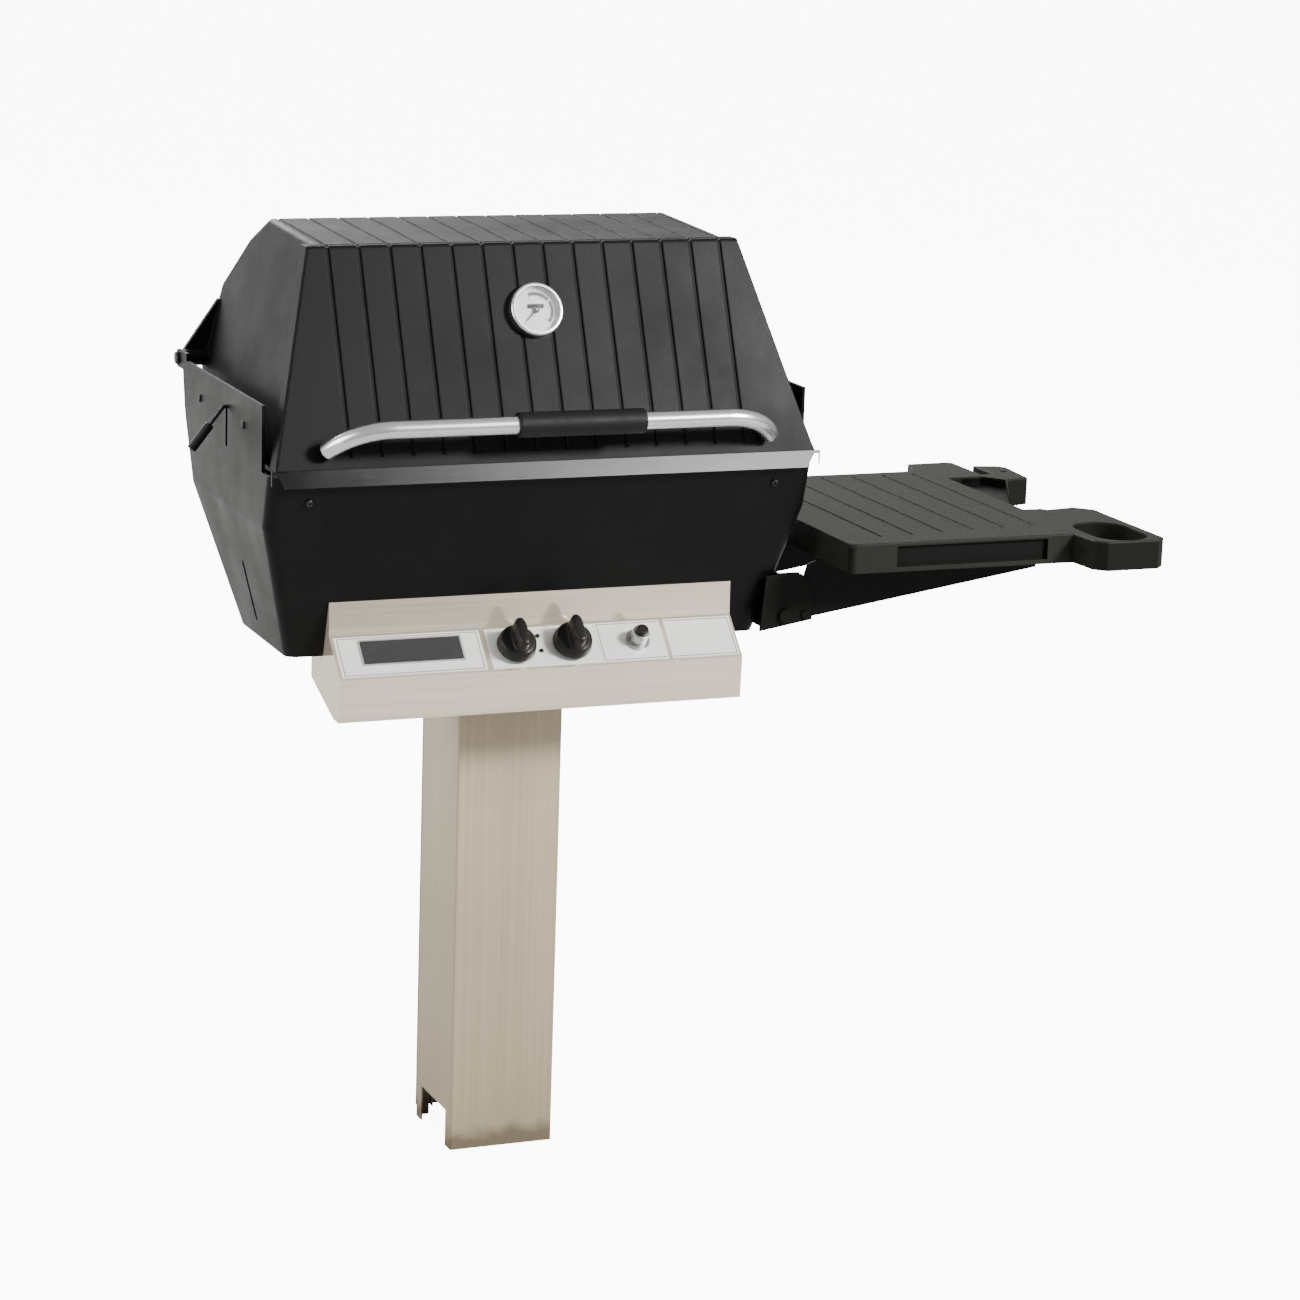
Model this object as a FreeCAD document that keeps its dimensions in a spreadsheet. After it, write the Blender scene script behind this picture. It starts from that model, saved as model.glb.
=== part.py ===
import FreeCAD, Part
import math
import os
import re
import Sketcher

# Gas barbecue on a post that is set in the ground, with a side shelf that drops down.
# Frame: origin on the post's axis at grade, +Z up, the control panel faces -Y, the shelf is on +X.
# Sizes are in millimetres. Each section names its own sizes, and the rest is worked out from them.

doc = FreeCAD.newDocument("GrillPedestal")
named = {}
sheets = []
nodes = []
groups = {}
V = FreeCAD.Vector
AXIS = {"XY": V(0, 0, 1), "XZ": V(0, 1, 0), "YZ": V(1, 0, 0)}
NORMAL_SIGN = {"XY": 1, "XZ": -1, "YZ": 1}


def add_sizes(section, **cells):
    """Give a section its own sheet, with each named size in a cell of its own."""
    sheet = doc.addObject("Spreadsheet::Sheet", section + "Sizes")
    for row, (name, number) in enumerate(cells.items(), 1):
        sheet.set("A%d" % row, name)
        sheet.set("B%d" % row, repr(number))
        sheet.setAlias("B%d" % row, name)
        named[name] = sheet.Name
    sheets.append(sheet)
    doc.recompute()


def formula(text):
    """Turn the bare names of sizes into references to their sheets."""
    return re.sub(r"[a-z]\w*", lambda w: "%s.%s" % (named[w.group()], w.group()) if w.group() in named
                  else w.group(), text)


def value(text):
    return float(sheets[0].evalExpression(formula(text)))


def bind(thing, prop, text):
    thing.setExpression(prop, formula(text))


def new_body(name):
    body = doc.addObject("PartDesign::Body", name)
    body.Label = name
    body.AllowCompound = True
    return body


def sketch(body, plane, lift="0"):
    """A sketch on one of the body's origin planes, lifted along the world axis that the plane faces."""
    flat = body.newObject("Sketcher::SketchObject", "Sketch")
    base = [o for o in body.Origin.OriginFeatures if o.Role == plane + "_Plane"][0]
    flat.AttachmentSupport = [(base, "")]
    flat.MapMode = "FlatFace"
    bind(flat, "AttachmentOffset.Base.z", "%d * (%s)" % (NORMAL_SIGN[plane], lift))
    return flat


def place_point(flat, geometry, point, across, up):
    for kind, text in (("DistanceX", across), ("DistanceY", up)):
        rule = flat.addConstraint(Sketcher.Constraint(kind, -1, 1, geometry, point, value(text)))
        bind(flat, "Constraints[%d]" % rule, text)


def loop(flat, corners):
    """A closed outline of straight edges, each corner held by two formulas."""
    points = [V(value(across), value(up), 0) for across, up in corners]
    count = len(points)
    edges = [Part.LineSegment(points[i], points[(i + 1) % count]) for i in range(count)]
    first = flat.addGeometry(edges, False)[0]
    for i, (across, up) in enumerate(corners):
        flat.addConstraint(Sketcher.Constraint("Coincident", first + i - 1 if i else first + count - 1, 2,
                                               first + i, 1))
        place_point(flat, first + i, 1, across, up)
    return flat


def box(flat, low_across, low_up, high_across, high_up):
    return loop(flat, [(low_across, low_up), (high_across, low_up), (high_across, high_up),
                       (low_across, high_up)])


def circle(flat, across, up, radius):
    """A circle whose centre and radius are formulas."""
    ring = flat.addGeometry(Part.Circle(V(value(across), value(up), 0), V(0, 0, 1), value(radius)), False)
    place_point(flat, ring, 3, across, up)
    rule = flat.addConstraint(Sketcher.Constraint("Radius", ring, value(radius)))
    bind(flat, "Constraints[%d]" % rule, radius)
    return flat


def slot(flat, across, up, length, width, upright=False):
    """A round-ended slot, centred on a point, given end to end."""
    half, r = value(length) / 2 - value(width) / 2, value(width) / 2
    middle = V(value(across), value(up), 0)
    along = V(0, half, 0) if upright else V(half, 0, 0)
    turn = math.pi / 2 if upright else 0
    arcs = []
    for centre, start in ((middle + along, turn - math.pi / 2), (middle - along, turn + math.pi / 2)):
        arcs.append(Part.ArcOfCircle(Part.Circle(centre, V(0, 0, 1), r), start, start + math.pi))
    one, two = flat.addGeometry(arcs, False)
    three = flat.addGeometry(Part.LineSegment(arcs[0].EndPoint, arcs[1].StartPoint), False)
    four = flat.addGeometry(Part.LineSegment(arcs[1].EndPoint, arcs[0].StartPoint), False)
    for a, b, c, d in ((one, 2, three, 1), (three, 2, two, 1), (two, 2, four, 1), (four, 2, one, 1)):
        flat.addConstraint(Sketcher.Constraint("Tangent", a, b, c, d))
    rule = flat.addConstraint(Sketcher.Constraint("Radius", one, r))
    bind(flat, "Constraints[%d]" % rule, "(%s) / 2" % width)
    reach = "((%s) - (%s)) / 2" % (length, width)
    shift = ("0", reach) if upright else (reach, "0")
    place_point(flat, one, 3, "(%s) + %s" % (across, shift[0]), "(%s) + %s" % (up, shift[1]))
    place_point(flat, two, 3, "(%s) - %s" % (across, shift[0]), "(%s) - %s" % (up, shift[1]))
    return flat


def plane_of(flat):
    role = flat.AttachmentSupport[0][0].Role
    return role[:2]


def pad(body, flat, length, toward=0):
    """Pad both ways about the sketch, or toward the plus or minus side of its world axis."""
    solid = body.newObject("PartDesign::Pad", "Pad")
    solid.Profile = flat
    solid.Midplane = toward == 0
    solid.Reversed = toward * NORMAL_SIGN[plane_of(flat)] < 0
    bind(solid, "Length", length)
    doc.recompute()
    return solid


def pocket(body, flat, depth=None, toward=0):
    """Cut through everything both ways, or to a depth toward one side, and make sure that it cuts."""
    before = body.Shape.Volume
    hollow = body.newObject("PartDesign::Pocket", "Pocket")
    hollow.Profile = flat
    if depth is None:
        hollow.Type = "ThroughAll"
        hollow.Midplane = toward == 0
    else:
        hollow.Midplane = False
        bind(hollow, "Length", depth)
    hollow.Reversed = toward * NORMAL_SIGN[plane_of(flat)] > 0
    doc.recompute()
    if body.Shape.Volume > before - 0.01:
        raise ValueError("%s: a pocket cuts nothing" % body.Label)
    return hollow


def edges_of(shape, test):
    return ["Edge%d" % (i + 1) for i, edge in enumerate(shape.Edges) if test(edge)]


def soften(body, test, radius, kind="Fillet"):
    """Round or bevel the edges of the body's last feature that pass the test."""
    last = body.Tip
    chosen = edges_of(last.Shape, test)
    if not chosen:
        raise ValueError("%s: no edge to soften" % body.Label)
    finish = body.newObject("PartDesign::" + kind, kind)
    finish.Base = (last, chosen)
    bind(finish, "Radius" if kind == "Fillet" else "Size", radius)
    doc.recompute()
    return finish


def runs_along(edge, direction):
    """True for a straight edge along a direction."""
    ends = edge.Vertexes
    if len(ends) < 2 or not isinstance(edge.Curve, Part.Line):
        return False
    return (ends[1].Point - ends[0].Point).cross(direction).Length < 1e-3 * edge.Length


def near(one, other, gap=0.05):
    return abs(one - other) < gap


def combine(kind, name, base, tool):
    """A boolean of two objects, or of a list for a fuse or a compound."""
    made = doc.addObject(kind, name)
    made.Label = name
    if kind in ("Part::Cut",):
        made.Base, made.Tool = base, tool
    elif kind == "Part::Compound":
        made.Links = [base] + tool
    else:
        made.Shapes = [base] + tool
    doc.recompute()
    return made


def keep(thing):
    """Put a finished piece on the list that is written out."""
    nodes.append(thing)
    return thing


def gather(group, thing):
    """Put a piece with its like pieces, which are written out together under the group's name."""
    groups.setdefault(group, []).append(thing)
    return thing


def tilt(body, base, angle, axis="YZ"):
    """Lay a body's own XY plane on a slope: move it to a base point and turn it about a world axis."""
    body.Placement = FreeCAD.Placement(V(0, 0, 0), FreeCAD.Rotation(AXIS[axis], 10))
    for letter, text in zip("xyz", base):
        bind(body, "Placement.Base." + letter, text)
    bind(body, "Placement.Rotation.Angle", angle)
    return body


def tilted_body(name, lay):
    """A new body whose own XY plane lies on a slope, outward along its own Z."""
    body = new_body(name)
    tilt(body, *lay)
    return body


def half_outline(points):
    """Mirror the right half of an outline, listed from the bottom up."""
    return points + [("-(%s)" % across, up) for across, up in reversed(points)]


def sheet_outline(points, thick, side=1):
    """Close a bent line into the outline of a sheet of even thickness, set off to one side of the line."""
    line = [V(value(across), value(up), 0) for across, up in points]
    inner = []
    for i, point in enumerate(line):
        ways = [(point - line[i - 1]).normalize()] if i else []
        ways += [(line[i + 1] - point).normalize()] if i + 1 < len(line) else []
        sides = [V(-way.y, way.x, 0) * side for way in ways]
        total = sides[0] + sides[-1]
        shift = total * (2 / total.dot(total))
        inner.append(("(%s) + (%.6f) * (%s)" % (points[i][0], shift.x, thick),
                      "(%s) + (%.6f) * (%s)" % (points[i][1], shift.y, thick)))
    return points + inner[::-1]


def prism(name, plane, corners, length):
    body = new_body(name)
    pad(body, loop(sketch(body, plane), corners), length)
    return body


def leaning(height, low, low_height, high, high_height):
    """The place on a straight leaning line at a height, as a formula."""
    return "(%s + (%s - (%s)) * (%s - (%s)) / (%s - (%s)))" % (low, height, low_height, high, low, high_height,
                                                             low_height)


def row_of(body, direction, step, count):
    """Repeat the body's last feature along one of its own axes."""
    row = body.newObject("PartDesign::LinearPattern", "Row")
    row.Originals = [body.Tip]
    row.Direction = ([o for o in body.Origin.OriginFeatures if o.Role == direction + "_Axis"][0], [""])
    bind(row, "Length", "(%s) * (%s - 1)" % (step, count))
    bind(row, "Occurrences", count)
    body.Tip = row
    doc.recompute()
    return row


def screws(name, plane, seat, outward, places, head, head_height, shank, shank_length, drive, lay=None,
           group=None):
    """A group of like screws: heads on the seat, shanks behind it, a round drive recess in each head."""
    body = tilted_body(name, lay) if lay else new_body(name)
    heads = sketch(body, plane, seat)
    for across, up in places:
        circle(heads, across, up, head)
    pad(body, heads, head_height, outward)
    rim = value(seat) + outward * value(head_height)
    soften(body, lambda e: near(e.CenterOfMass.dot(AXIS[plane]), rim, 0.01), "(%s) * 0.35" % head_height)
    shanks = sketch(body, plane, seat)
    for across, up in places:
        circle(shanks, across, up, shank)
    pad(body, shanks, shank_length, -outward)
    sockets = sketch(body, plane, "(%s) + %d * (%s)" % (seat, outward, head_height))
    for across, up in places:
        circle(sockets, across, up, drive)
    pocket(body, sockets, "(%s) * 0.5" % head_height, -outward)
    return gather(group, body) if group else keep(body)


# Post: one stainless sheet folded into a square with an open back, with a cut-out for the gas line at
# grade on the left and two holes low down that key it into the footing
add_sizes("Post", post_side=140.0, post_wall=2.0, post_return=18.0, post_rise=660.0, post_buried=559.0,
          fold_radius=3.0, gas_cut_width=96.0, gas_cut_rise=48.0, gas_cut_below=70.0,
          key_hole_radius=11.0, key_hole_rise=60.0, key_hole_spread=35.0,
          cover_low=14.0, cover_high=556.0, cover_wall=1.5, cover_lip=12.0, cover_screw_inset=28.0,
          small_screw=2.5, small_head=4.6)
COVER_SCREWS = [(side + "(post_side - post_return) / 2", height)
                for side in ("", "-")
                for height in ("cover_low + cover_screw_inset", "cover_high - cover_screw_inset")]


def post_shell():
    body = new_body("post_shell")
    h, w, r = "post_side / 2", "post_wall", "post_return"
    right = [("%s" % h, "-" + h), (h, h), (h + " - " + r, h), (h + " - " + r, h + " - " + w),
             (h + " - " + w, h + " - " + w), (h + " - " + w, "-%s + %s" % (h, w))]
    left = [("-(%s)" % across, up) for across, up in reversed(right)]
    pad(body, loop(sketch(body, "XY", "-post_buried"), right + left), "post_buried + post_rise", 1)
    half = value(h)
    soften(body, lambda e: runs_along(e, AXIS["XY"]) and near(abs(e.CenterOfMass.x), half)
           and near(abs(e.CenterOfMass.y), half), "fold_radius")
    gas = sketch(body, "YZ")
    box(gas, "-gas_cut_width / 2", "-gas_cut_below", "gas_cut_width / 2", "gas_cut_rise")
    pocket(body, gas, "post_side", -1)
    keys = sketch(body, "XZ")
    circle(keys, "key_hole_spread", "key_hole_rise - post_buried", "key_hole_radius")
    circle(keys, "-key_hole_spread", "key_hole_rise - post_buried", "key_hole_radius")
    pocket(body, keys)
    holes = sketch(body, "XZ")
    for across, up in COVER_SCREWS:
        circle(holes, across, up, "small_screw")
    pocket(body, holes, "post_side", 1)
    sides = sketch(body, "YZ")
    for along in ("bolt_spread / 2", "-bolt_spread / 2"):
        circle(sides, along, "post_rise - sleeve_bolt_drop", "sleeve_bolt")
    pocket(body, sides)
    return keep(body)


def post_rear_cover():
    body = new_body("post_rear_cover")
    h, lip = "post_side / 2", "(post_side / 2 - post_return - 0.5)"
    right = [(h, h + " + cover_wall"), (h, h), (lip, h), (lip, h + " - cover_lip"),
             (lip + " - cover_wall", h + " - cover_lip"), (lip + " - cover_wall", h)]
    left = [("-(%s)" % across, up) for across, up in reversed(right)]
    pad(body, loop(sketch(body, "XY", "cover_low"), right + left), "cover_high - cover_low", 1)
    holes = sketch(body, "XZ")
    for across, up in COVER_SCREWS:
        circle(holes, across, up, "small_screw")
    pocket(body, holes)
    return keep(body)


# Head bracket: a square sleeve that slides into the post, welded under a hat-shaped saddle that the
# firebox is bolted to
add_sizes("Bracket", sleeve_gap=0.4, sleeve_wall=3.0, sleeve_length=96.0, sleeve_bolt=3.3, sleeve_bolt_drop=26.0,
          bolt_spread=70.0, bracket_half=110.0, bracket_foot=30.0, bracket_plate=4.0,
          bracket_depth=120.0, bracket_hole=38.0, bracket_bolt=4.0, bracket_bolt_spread=80.0,
          floor_height=683.0, floor_plate=5.0)
SADDLE_BOLTS = [(side + "(bracket_half + bracket_foot / 2)", ahead + "bracket_bolt_spread / 2")
                for side in ("", "-") for ahead in ("", "-")]


def head_bracket():
    body = new_body("head_bracket")
    top, t, reach = "floor_height", "bracket_plate", "bracket_half"
    right = [(reach, "post_rise"), (reach, top + " - " + t), (reach + " + bracket_foot", top + " - " + t),
             (reach + " + bracket_foot", top), (reach + " - " + t, top), (reach + " - " + t, "post_rise + " + t)]
    left = [("-(%s)" % across, up) for across, up in reversed(right)]
    pad(body, loop(sketch(body, "XZ"), right + left), "bracket_depth")
    outer = "(post_side / 2 - post_wall - sleeve_gap)"
    tube = sketch(body, "XY", "post_rise")
    box(tube, "-" + outer, "-" + outer, outer, outer)
    inner = "(%s - sleeve_wall)" % outer
    box(tube, "-" + inner, "-" + inner, inner, inner)
    pad(body, tube, "sleeve_length", -1)
    holes = sketch(body, "XY", "floor_height")
    for across, up in SADDLE_BOLTS:
        circle(holes, across, up, "bracket_bolt + 0.3")
    circle(holes, "0", "0", "bracket_hole")
    pocket(body, holes)
    sides = sketch(body, "YZ")
    for along in ("bolt_spread / 2", "-bolt_spread / 2"):
        circle(sides, along, "post_rise - sleeve_bolt_drop", "sleeve_bolt")
    pocket(body, sides)
    return keep(body)


post_shell()
post_rear_cover()
head_bracket()
screws("cover_screws", "XZ", "post_side / 2 + cover_wall", 1, COVER_SCREWS,
       "small_head", "3", "small_screw - 0.1", "8", "1.6", group="small_screws")
screws("saddle_bolts", "XY", "floor_height - bracket_plate", -1, SADDLE_BOLTS,
       "7", "5", "bracket_bolt - 0.05", "bracket_plate + floor_plate + 7", "3", group="box_bolts")

# Drill places that the castings share with the pieces that are fixed to them
add_sizes("Drill", rivet_shank=2.4, rivet_front=-70.0, rivet_back=126.0, rivet_height=966.0,
          wall_screw_half=305.0, wall_screw_up=214.0, rack_bolt=3.0, rack_bolt_half=302.0,
          rack_bolt_up=-19.0, flank_bolt_up=38.0, flank_bolt_step=17.0, flank_front=-88.0, flank_back=50.0,
          flank_spread=20.0, rail_spread=41.0, rail_screw_run=26.0, pipe_bracket_left=-78.0,
          pipe_bracket_right=122.0, pipe_screw_back=-104.0, pipe_screw_side=14.0,
          panel_screw_half=255.0, panel_screw_front=-106.0, panel_screw_back=-84.0)
SHUTTER_RIVETS = [("rivet_front", "rivet_height"), ("rivet_back", "rivet_height")]
WALL_SCREWS = [("wall_screw_half", "wall_screw_up"), ("-wall_screw_half", "wall_screw_up")]
RACK_BOLTS = [("rack_bolt_half", "rack_bolt_up"), ("-rack_bolt_half", "rack_bolt_up")]
FLANK_BOLTS = [("-flank_bolt_up - %d * flank_bolt_step" % step, place + sign + "flank_spread")
               for place in ("flank_front", "flank_back") for step, sign in ((1, " - "), (0, " + "))]
RAIL_SCREWS = [("drain_place%srail_spread" % side, "drain_back%srail_screw_run" % way)
               for side in (" - ", " + ") for way in (" - ", " + ")]
PIPE_SCREWS = [(place + " + pipe_screw_side", "pipe_screw_back")
               for place in ("pipe_bracket_left", "pipe_bracket_right")]
PANEL_SCREWS = [(side + "panel_screw_half", back) for side in ("", "-")
                for back in ("panel_screw_front", "panel_screw_back")]

# Firebox: a cast tub whose sides lean out and then stand up as cheeks on both sides of the lid, with
# lugs for the lid pins, ledges for the grates, and slots in its sides
add_sizes("Firebox", box_wall=4.0, floor_half=312.0, bend_height=855.0, cheek_half=355.7, box_front_low=-117.0,
          box_front_high=-188.0, front_rim=922.0, box_back_low=78.0, box_back_heel=98.0, heel_rise=17.0,
          box_back_knee=188.0, knee_height=884.0, box_back_top=212.0, rear_rim=936.0, cheek_front=-149.0,
          cheek_top=1003.0, corner_radius=16.0, drain_radius=9.0, drain_place=190.0, drain_back=20.0,
          open_top=1100.0, open_reach=400.0, side_slot_width=8.0, spit_slot_low=926.0, spit_slot_high=979.0,
          spit_slot_place=4.5, tool_slot_low=707.0, tool_slot_high=784.0, tool_slot_place=-8.0,
          hinge_back=232.0, hinge_height=1001.0, hinge_pin=4.0, running_gap=0.05, hinge_lug=11.5,
          grid_ledge=878.0, rock_ledge=800.0, ledge_plate=5.0, ledge_depth=16.0, inlet_radius=16.5,
          inlet_place=-92.0, knob_left_place=-32.0, knob_right_place=42.0, rack_back=60.0,
          rack_height=1080.0, rack_pin=3.0, rack_boss=8.0, rack_boss_end=280.0, hinge_boss_length=36.0)
ON_BOX_FRONT = (("0", "box_front_low", "floor_height"),
                "180 deg - atan((front_rim - floor_height) / (box_front_low - box_front_high))")
ON_BOX_BACK = (("0", "box_back_knee", "knee_height"),
               "-90 deg - atan((box_back_top - box_back_knee) / (cheek_top - knee_height))")
ON_BOX_FLANK = (("floor_half", "0", "floor_height"),
                "90 deg + atan((cheek_half - floor_half) / (bend_height - floor_height))", "XZ")


def rounded(block, *choices):
    """Round the edges of a block: each choice is a test on an edge, its middle and its run, and a radius."""
    result = doc.addObject("Part::Fillet", block.Name + "_rounded")
    result.Base = block
    chosen = []
    for i, edge in enumerate(block.Shape.Edges):
        for test, radius in choices:
            if test(edge, edge.CenterOfMass, edge.tangentAt(edge.FirstParameter)):
                chosen.append((i + 1, value(radius), value(radius)))
                break
    result.Edges = chosen
    doc.recompute()
    return result


def tub_corner(edge, middle, run):
    """One of the tub's four leaning corners, inside or outside."""
    upright = edge.Length > 30 and abs(run.z) > 0.8
    outside = abs(middle.x) > value("floor_half - box_wall") - 1
    across = middle.y < value("cheek_front") + 35 or middle.y > value("box_back_heel")
    return (upright and outside and across and middle.y < value("hinge_back")
            and value("floor_height") < middle.z < value("rear_rim"))


def firebox():
    wall = "box_wall"
    back_at_rim = leaning("rear_rim", "box_back_knee", "knee_height", "box_back_top", "cheek_top")
    side = [("box_front_low", "floor_height"), ("box_back_low", "floor_height"),
            ("box_back_heel", "floor_height + heel_rise"), ("box_back_knee", "knee_height"),
            ("box_back_top", "cheek_top"), ("cheek_front", "cheek_top"), ("cheek_front", "front_rim"),
            ("box_front_high", "front_rim")]
    front = half_outline([("floor_half", "floor_height"), ("cheek_half", "bend_height"),
                          ("cheek_half", "cheek_top")])
    outer_side = prism("firebox_side", "YZ", side, "cheek_half * 2 + 20")
    outer_front = prism("firebox_front", "XZ", front, "open_reach * 2")
    outer = combine("Part::MultiCommon", "firebox_outer", outer_side, [outer_front])
    corner = rounded(outer, (tub_corner, "corner_radius"))
    hollow_side = [("box_front_low + " + wall, "floor_height + floor_plate"),
                   ("box_back_low - " + wall, "floor_height + floor_plate"),
                   ("box_back_heel - " + wall, "floor_height + floor_plate + heel_rise"),
                   ("box_back_knee - " + wall, "knee_height"), (back_at_rim + " - " + wall, "rear_rim"),
                   ("open_reach", "rear_rim"), ("open_reach", "open_top"), ("-open_reach", "open_top"),
                   ("-open_reach", "front_rim"), ("box_front_high + " + wall, "front_rim")]
    hollow_front = half_outline([("floor_half - " + wall, "floor_height"),
                                 ("cheek_half - " + wall, "bend_height"), ("cheek_half - " + wall, "open_top")])
    inner_side = prism("cavity_side", "YZ", hollow_side, "cheek_half * 2")
    inner_front = prism("cavity_front", "XZ", hollow_front, "open_reach * 2")
    inner = combine("Part::MultiCommon", "firebox_cavity", inner_side, [inner_front])
    shell = combine("Part::Cut", "firebox_shell", corner, rounded(inner, (tub_corner, "corner_radius - " + wall)))

    ledges = new_body("firebox_ledges")
    wide = {"grid_ledge": "cheek_half", "rock_ledge": leaning("rock_ledge", "floor_half", "floor_height",
                                                            "cheek_half", "bend_height")}
    for level in ("grid_ledge", "rock_ledge"):
        ahead = leaning(level, "box_front_low", "floor_height", "box_front_high", "front_rim")
        behind = leaning(level, "box_back_heel", "(floor_height + heel_rise)", "box_back_knee", "knee_height")
        flat = sketch(ledges, "YZ")
        box(flat, ahead + " + 2", level + " - ledge_plate", ahead + " + ledge_depth", level)
        box(flat, behind + " - ledge_depth", level + " - ledge_plate", behind + " - 2", level)
        pad(ledges, flat, "(%s - corner_radius) * 2" % wide[level])
    lugs = new_body("firebox_lugs")
    for side_sign in (1, -1):
        flat = sketch(lugs, "YZ", "%d * (cheek_half - box_wall)" % side_sign)
        circle(flat, "hinge_back", "hinge_height", "hinge_lug")
        pad(lugs, flat, "box_wall", side_sign)
        flat = sketch(lugs, "YZ", "%d * (cheek_half - box_wall)" % side_sign)
        box(flat, "box_back_top - 20", "hinge_height - hinge_lug", "hinge_back", "hinge_height + hinge_lug")
        pad(lugs, flat, "box_wall", side_sign)
    whole = combine("Part::MultiFuse", "firebox_whole", shell, [ledges, lugs])

    holes = new_body("firebox_holes")
    flat = sketch(holes, "YZ")
    for low_end, high_end, place in (("spit_slot_low", "spit_slot_high", "spit_slot_place"),
                                     ("tool_slot_low", "tool_slot_high", "tool_slot_place")):
        slot(flat, place, "(%s + %s) / 2" % (low_end, high_end), "%s - %s" % (high_end, low_end),
             "side_slot_width", True)
    for across, up in SHUTTER_RIVETS:
        circle(flat, across, up, "rivet_shank + 0.05")
    circle(flat, "hinge_back", "hinge_height", "hinge_pin + running_gap")
    pad(holes, flat, "open_reach * 2")
    flat = sketch(holes, "XY", "floor_height")
    for place in ("knob_left_place", "knob_right_place"):
        circle(flat, place, "inlet_place", "inlet_radius")
    for across, up in SADDLE_BOLTS:
        circle(flat, across, up, "bracket_bolt + 0.3")
    circle(flat, "drain_place", "drain_back", "drain_radius")
    for across, up in RAIL_SCREWS + PIPE_SCREWS + PANEL_SCREWS:
        circle(flat, across, up, "small_screw + 0.05")
    pad(holes, flat, "floor_plate * 8")
    front = tilted_body("firebox_front_holes", ON_BOX_FRONT)
    flat = sketch(front, "XY")
    for across, up in WALL_SCREWS:
        circle(flat, across, up, "small_screw + 0.05")
    pad(front, flat, "30")
    back = tilted_body("firebox_back_holes", ON_BOX_BACK)
    flat = sketch(back, "XY")
    for across, up in RACK_BOLTS:
        circle(flat, across, up, "rack_bolt + 0.05")
    pad(back, flat, "30")
    flank = tilted_body("firebox_flank_holes", ON_BOX_FLANK)
    flat = sketch(flank, "XY")
    for across, up in FLANK_BOLTS:
        circle(flat, across, up, "bracket_bolt + 0.05")
    pad(flank, flat, "30")
    drills = combine("Part::MultiFuse", "firebox_drills", holes, [front, back, flank])
    return keep(combine("Part::Cut", "firebox", whole, drills))


# Hood: a cast lid, deeper at the front, with a raised band round its front face, ribs parted by
# grooves down the front and over the top, and bosses on webs that turn on the lid pins
add_sizes("Hood", hood_wall=4.6, hood_seat=922.2, rim_height=931.0, hood_half=337.0, hood_top_half=268.0,
          hood_front=-194.0, hood_fold_front=-84.0, hood_fold_height=1184.0, hood_fold_back=126.0,
          hood_back_height=1192.0, hood_slope_back=184.0, hood_slope_height=1159.0, hood_back=250.0,
          hood_back_fold=1093.0, hood_back_low=985.0, web_back=6.0, web_plate=8.0, web_low=8.0,
          web_high=6.0, web_top=1075.0, hood_side_back=184.0, hood_side_step=940.0,
          band_half=351.5, band_top_half=282.7, band_depth=24.0, lip_half=341.0, lip_low=911.0,
          lip_plate=4.5, lip_front=-196.0, seat_depth=13.0, seat_plate=5.6, groove_pitch=39.5,
          groove_width=5.0, groove_depth=2.0, groove_count=14, groove_foot=12.0, hood_boss=10.5,
          boss_gap=2.5, handle_half=282.0, handle_height=947.0, handle_bolt=4.0, dial_height=1104.0,
          dial_stem=8.0, handle_lift=17.0, handle_reach=55.0, handle_bend=80.0, handle_straight=216.0,
          handle_tube=11.0, handle_wall=1.6, front_fold_radius=6.0, back_fold_radius=12.0,
          side_edge_radius=8.0, band_edge_radius=3.0, bead_width=7.0, channel_width=5.0, channel_depth=2.2)
HANDLE_AT_BOLT = ("(handle_reach - handle_bend + sqrt(handle_bend * handle_bend"
                  " - (handle_half - handle_straight) * (handle_half - handle_straight)))")
FRONT_RUN = "(hood_fold_front - hood_front)"
FRONT_RISE = "(hood_fold_height - rim_height)"
FRONT_ANGLE = "atan(%s / %s)" % (FRONT_RISE, FRONT_RUN)
TOP_SLOPE = "(hood_back_height - hood_fold_height) / (hood_fold_back - hood_fold_front)"


ON_HOOD = (("0", "hood_front", "rim_height"), FRONT_ANGLE)


def on_front(height):
    """How far back the hood's front face is at a height."""
    return "(hood_front + (%s - rim_height) * %s / %s)" % (height, FRONT_RUN, FRONT_RISE)


def along_front(height):
    """How far up the hood's front slope a height is, from the rim."""
    return "((%s - rim_height) / sin(%s))" % (height, FRONT_ANGLE)


HANDLE_BOLT_UP = "(%s + %s * sin(handle_lift))" % (along_front("handle_height"), HANDLE_AT_BOLT)


def front_fold(edge, middle, run):
    """The level edge where the lid's front turns into its top."""
    return abs(run.x) > 0.99 and near(middle.y, value("hood_fold_front"), 0.6)


def back_fold(edge, middle, run):
    """The level edges where the top turns down into the back."""
    return (abs(run.x) > 0.99 and middle.y > value("hood_fold_back") - 9
            and middle.z > value("hood_back_low") + 20)


def side_edge(edge, middle, run):
    """The edges between the lid's sides and its top and back."""
    return (abs(run.x) < 0.3 and edge.Length > 50 and middle.y > value("hood_fold_front") + 10
            and middle.z > value("hood_seat") + 30)


def band_edge(edge, middle, run):
    """The outer front edges of the raised band at both ends of the front."""
    return (abs(run.x) < 0.3 and edge.Length > 100
            and near(middle.y, value("(hood_front + hood_fold_front) / 2"), 1)
            and abs(middle.x) > value("hood_top_half"))


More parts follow.
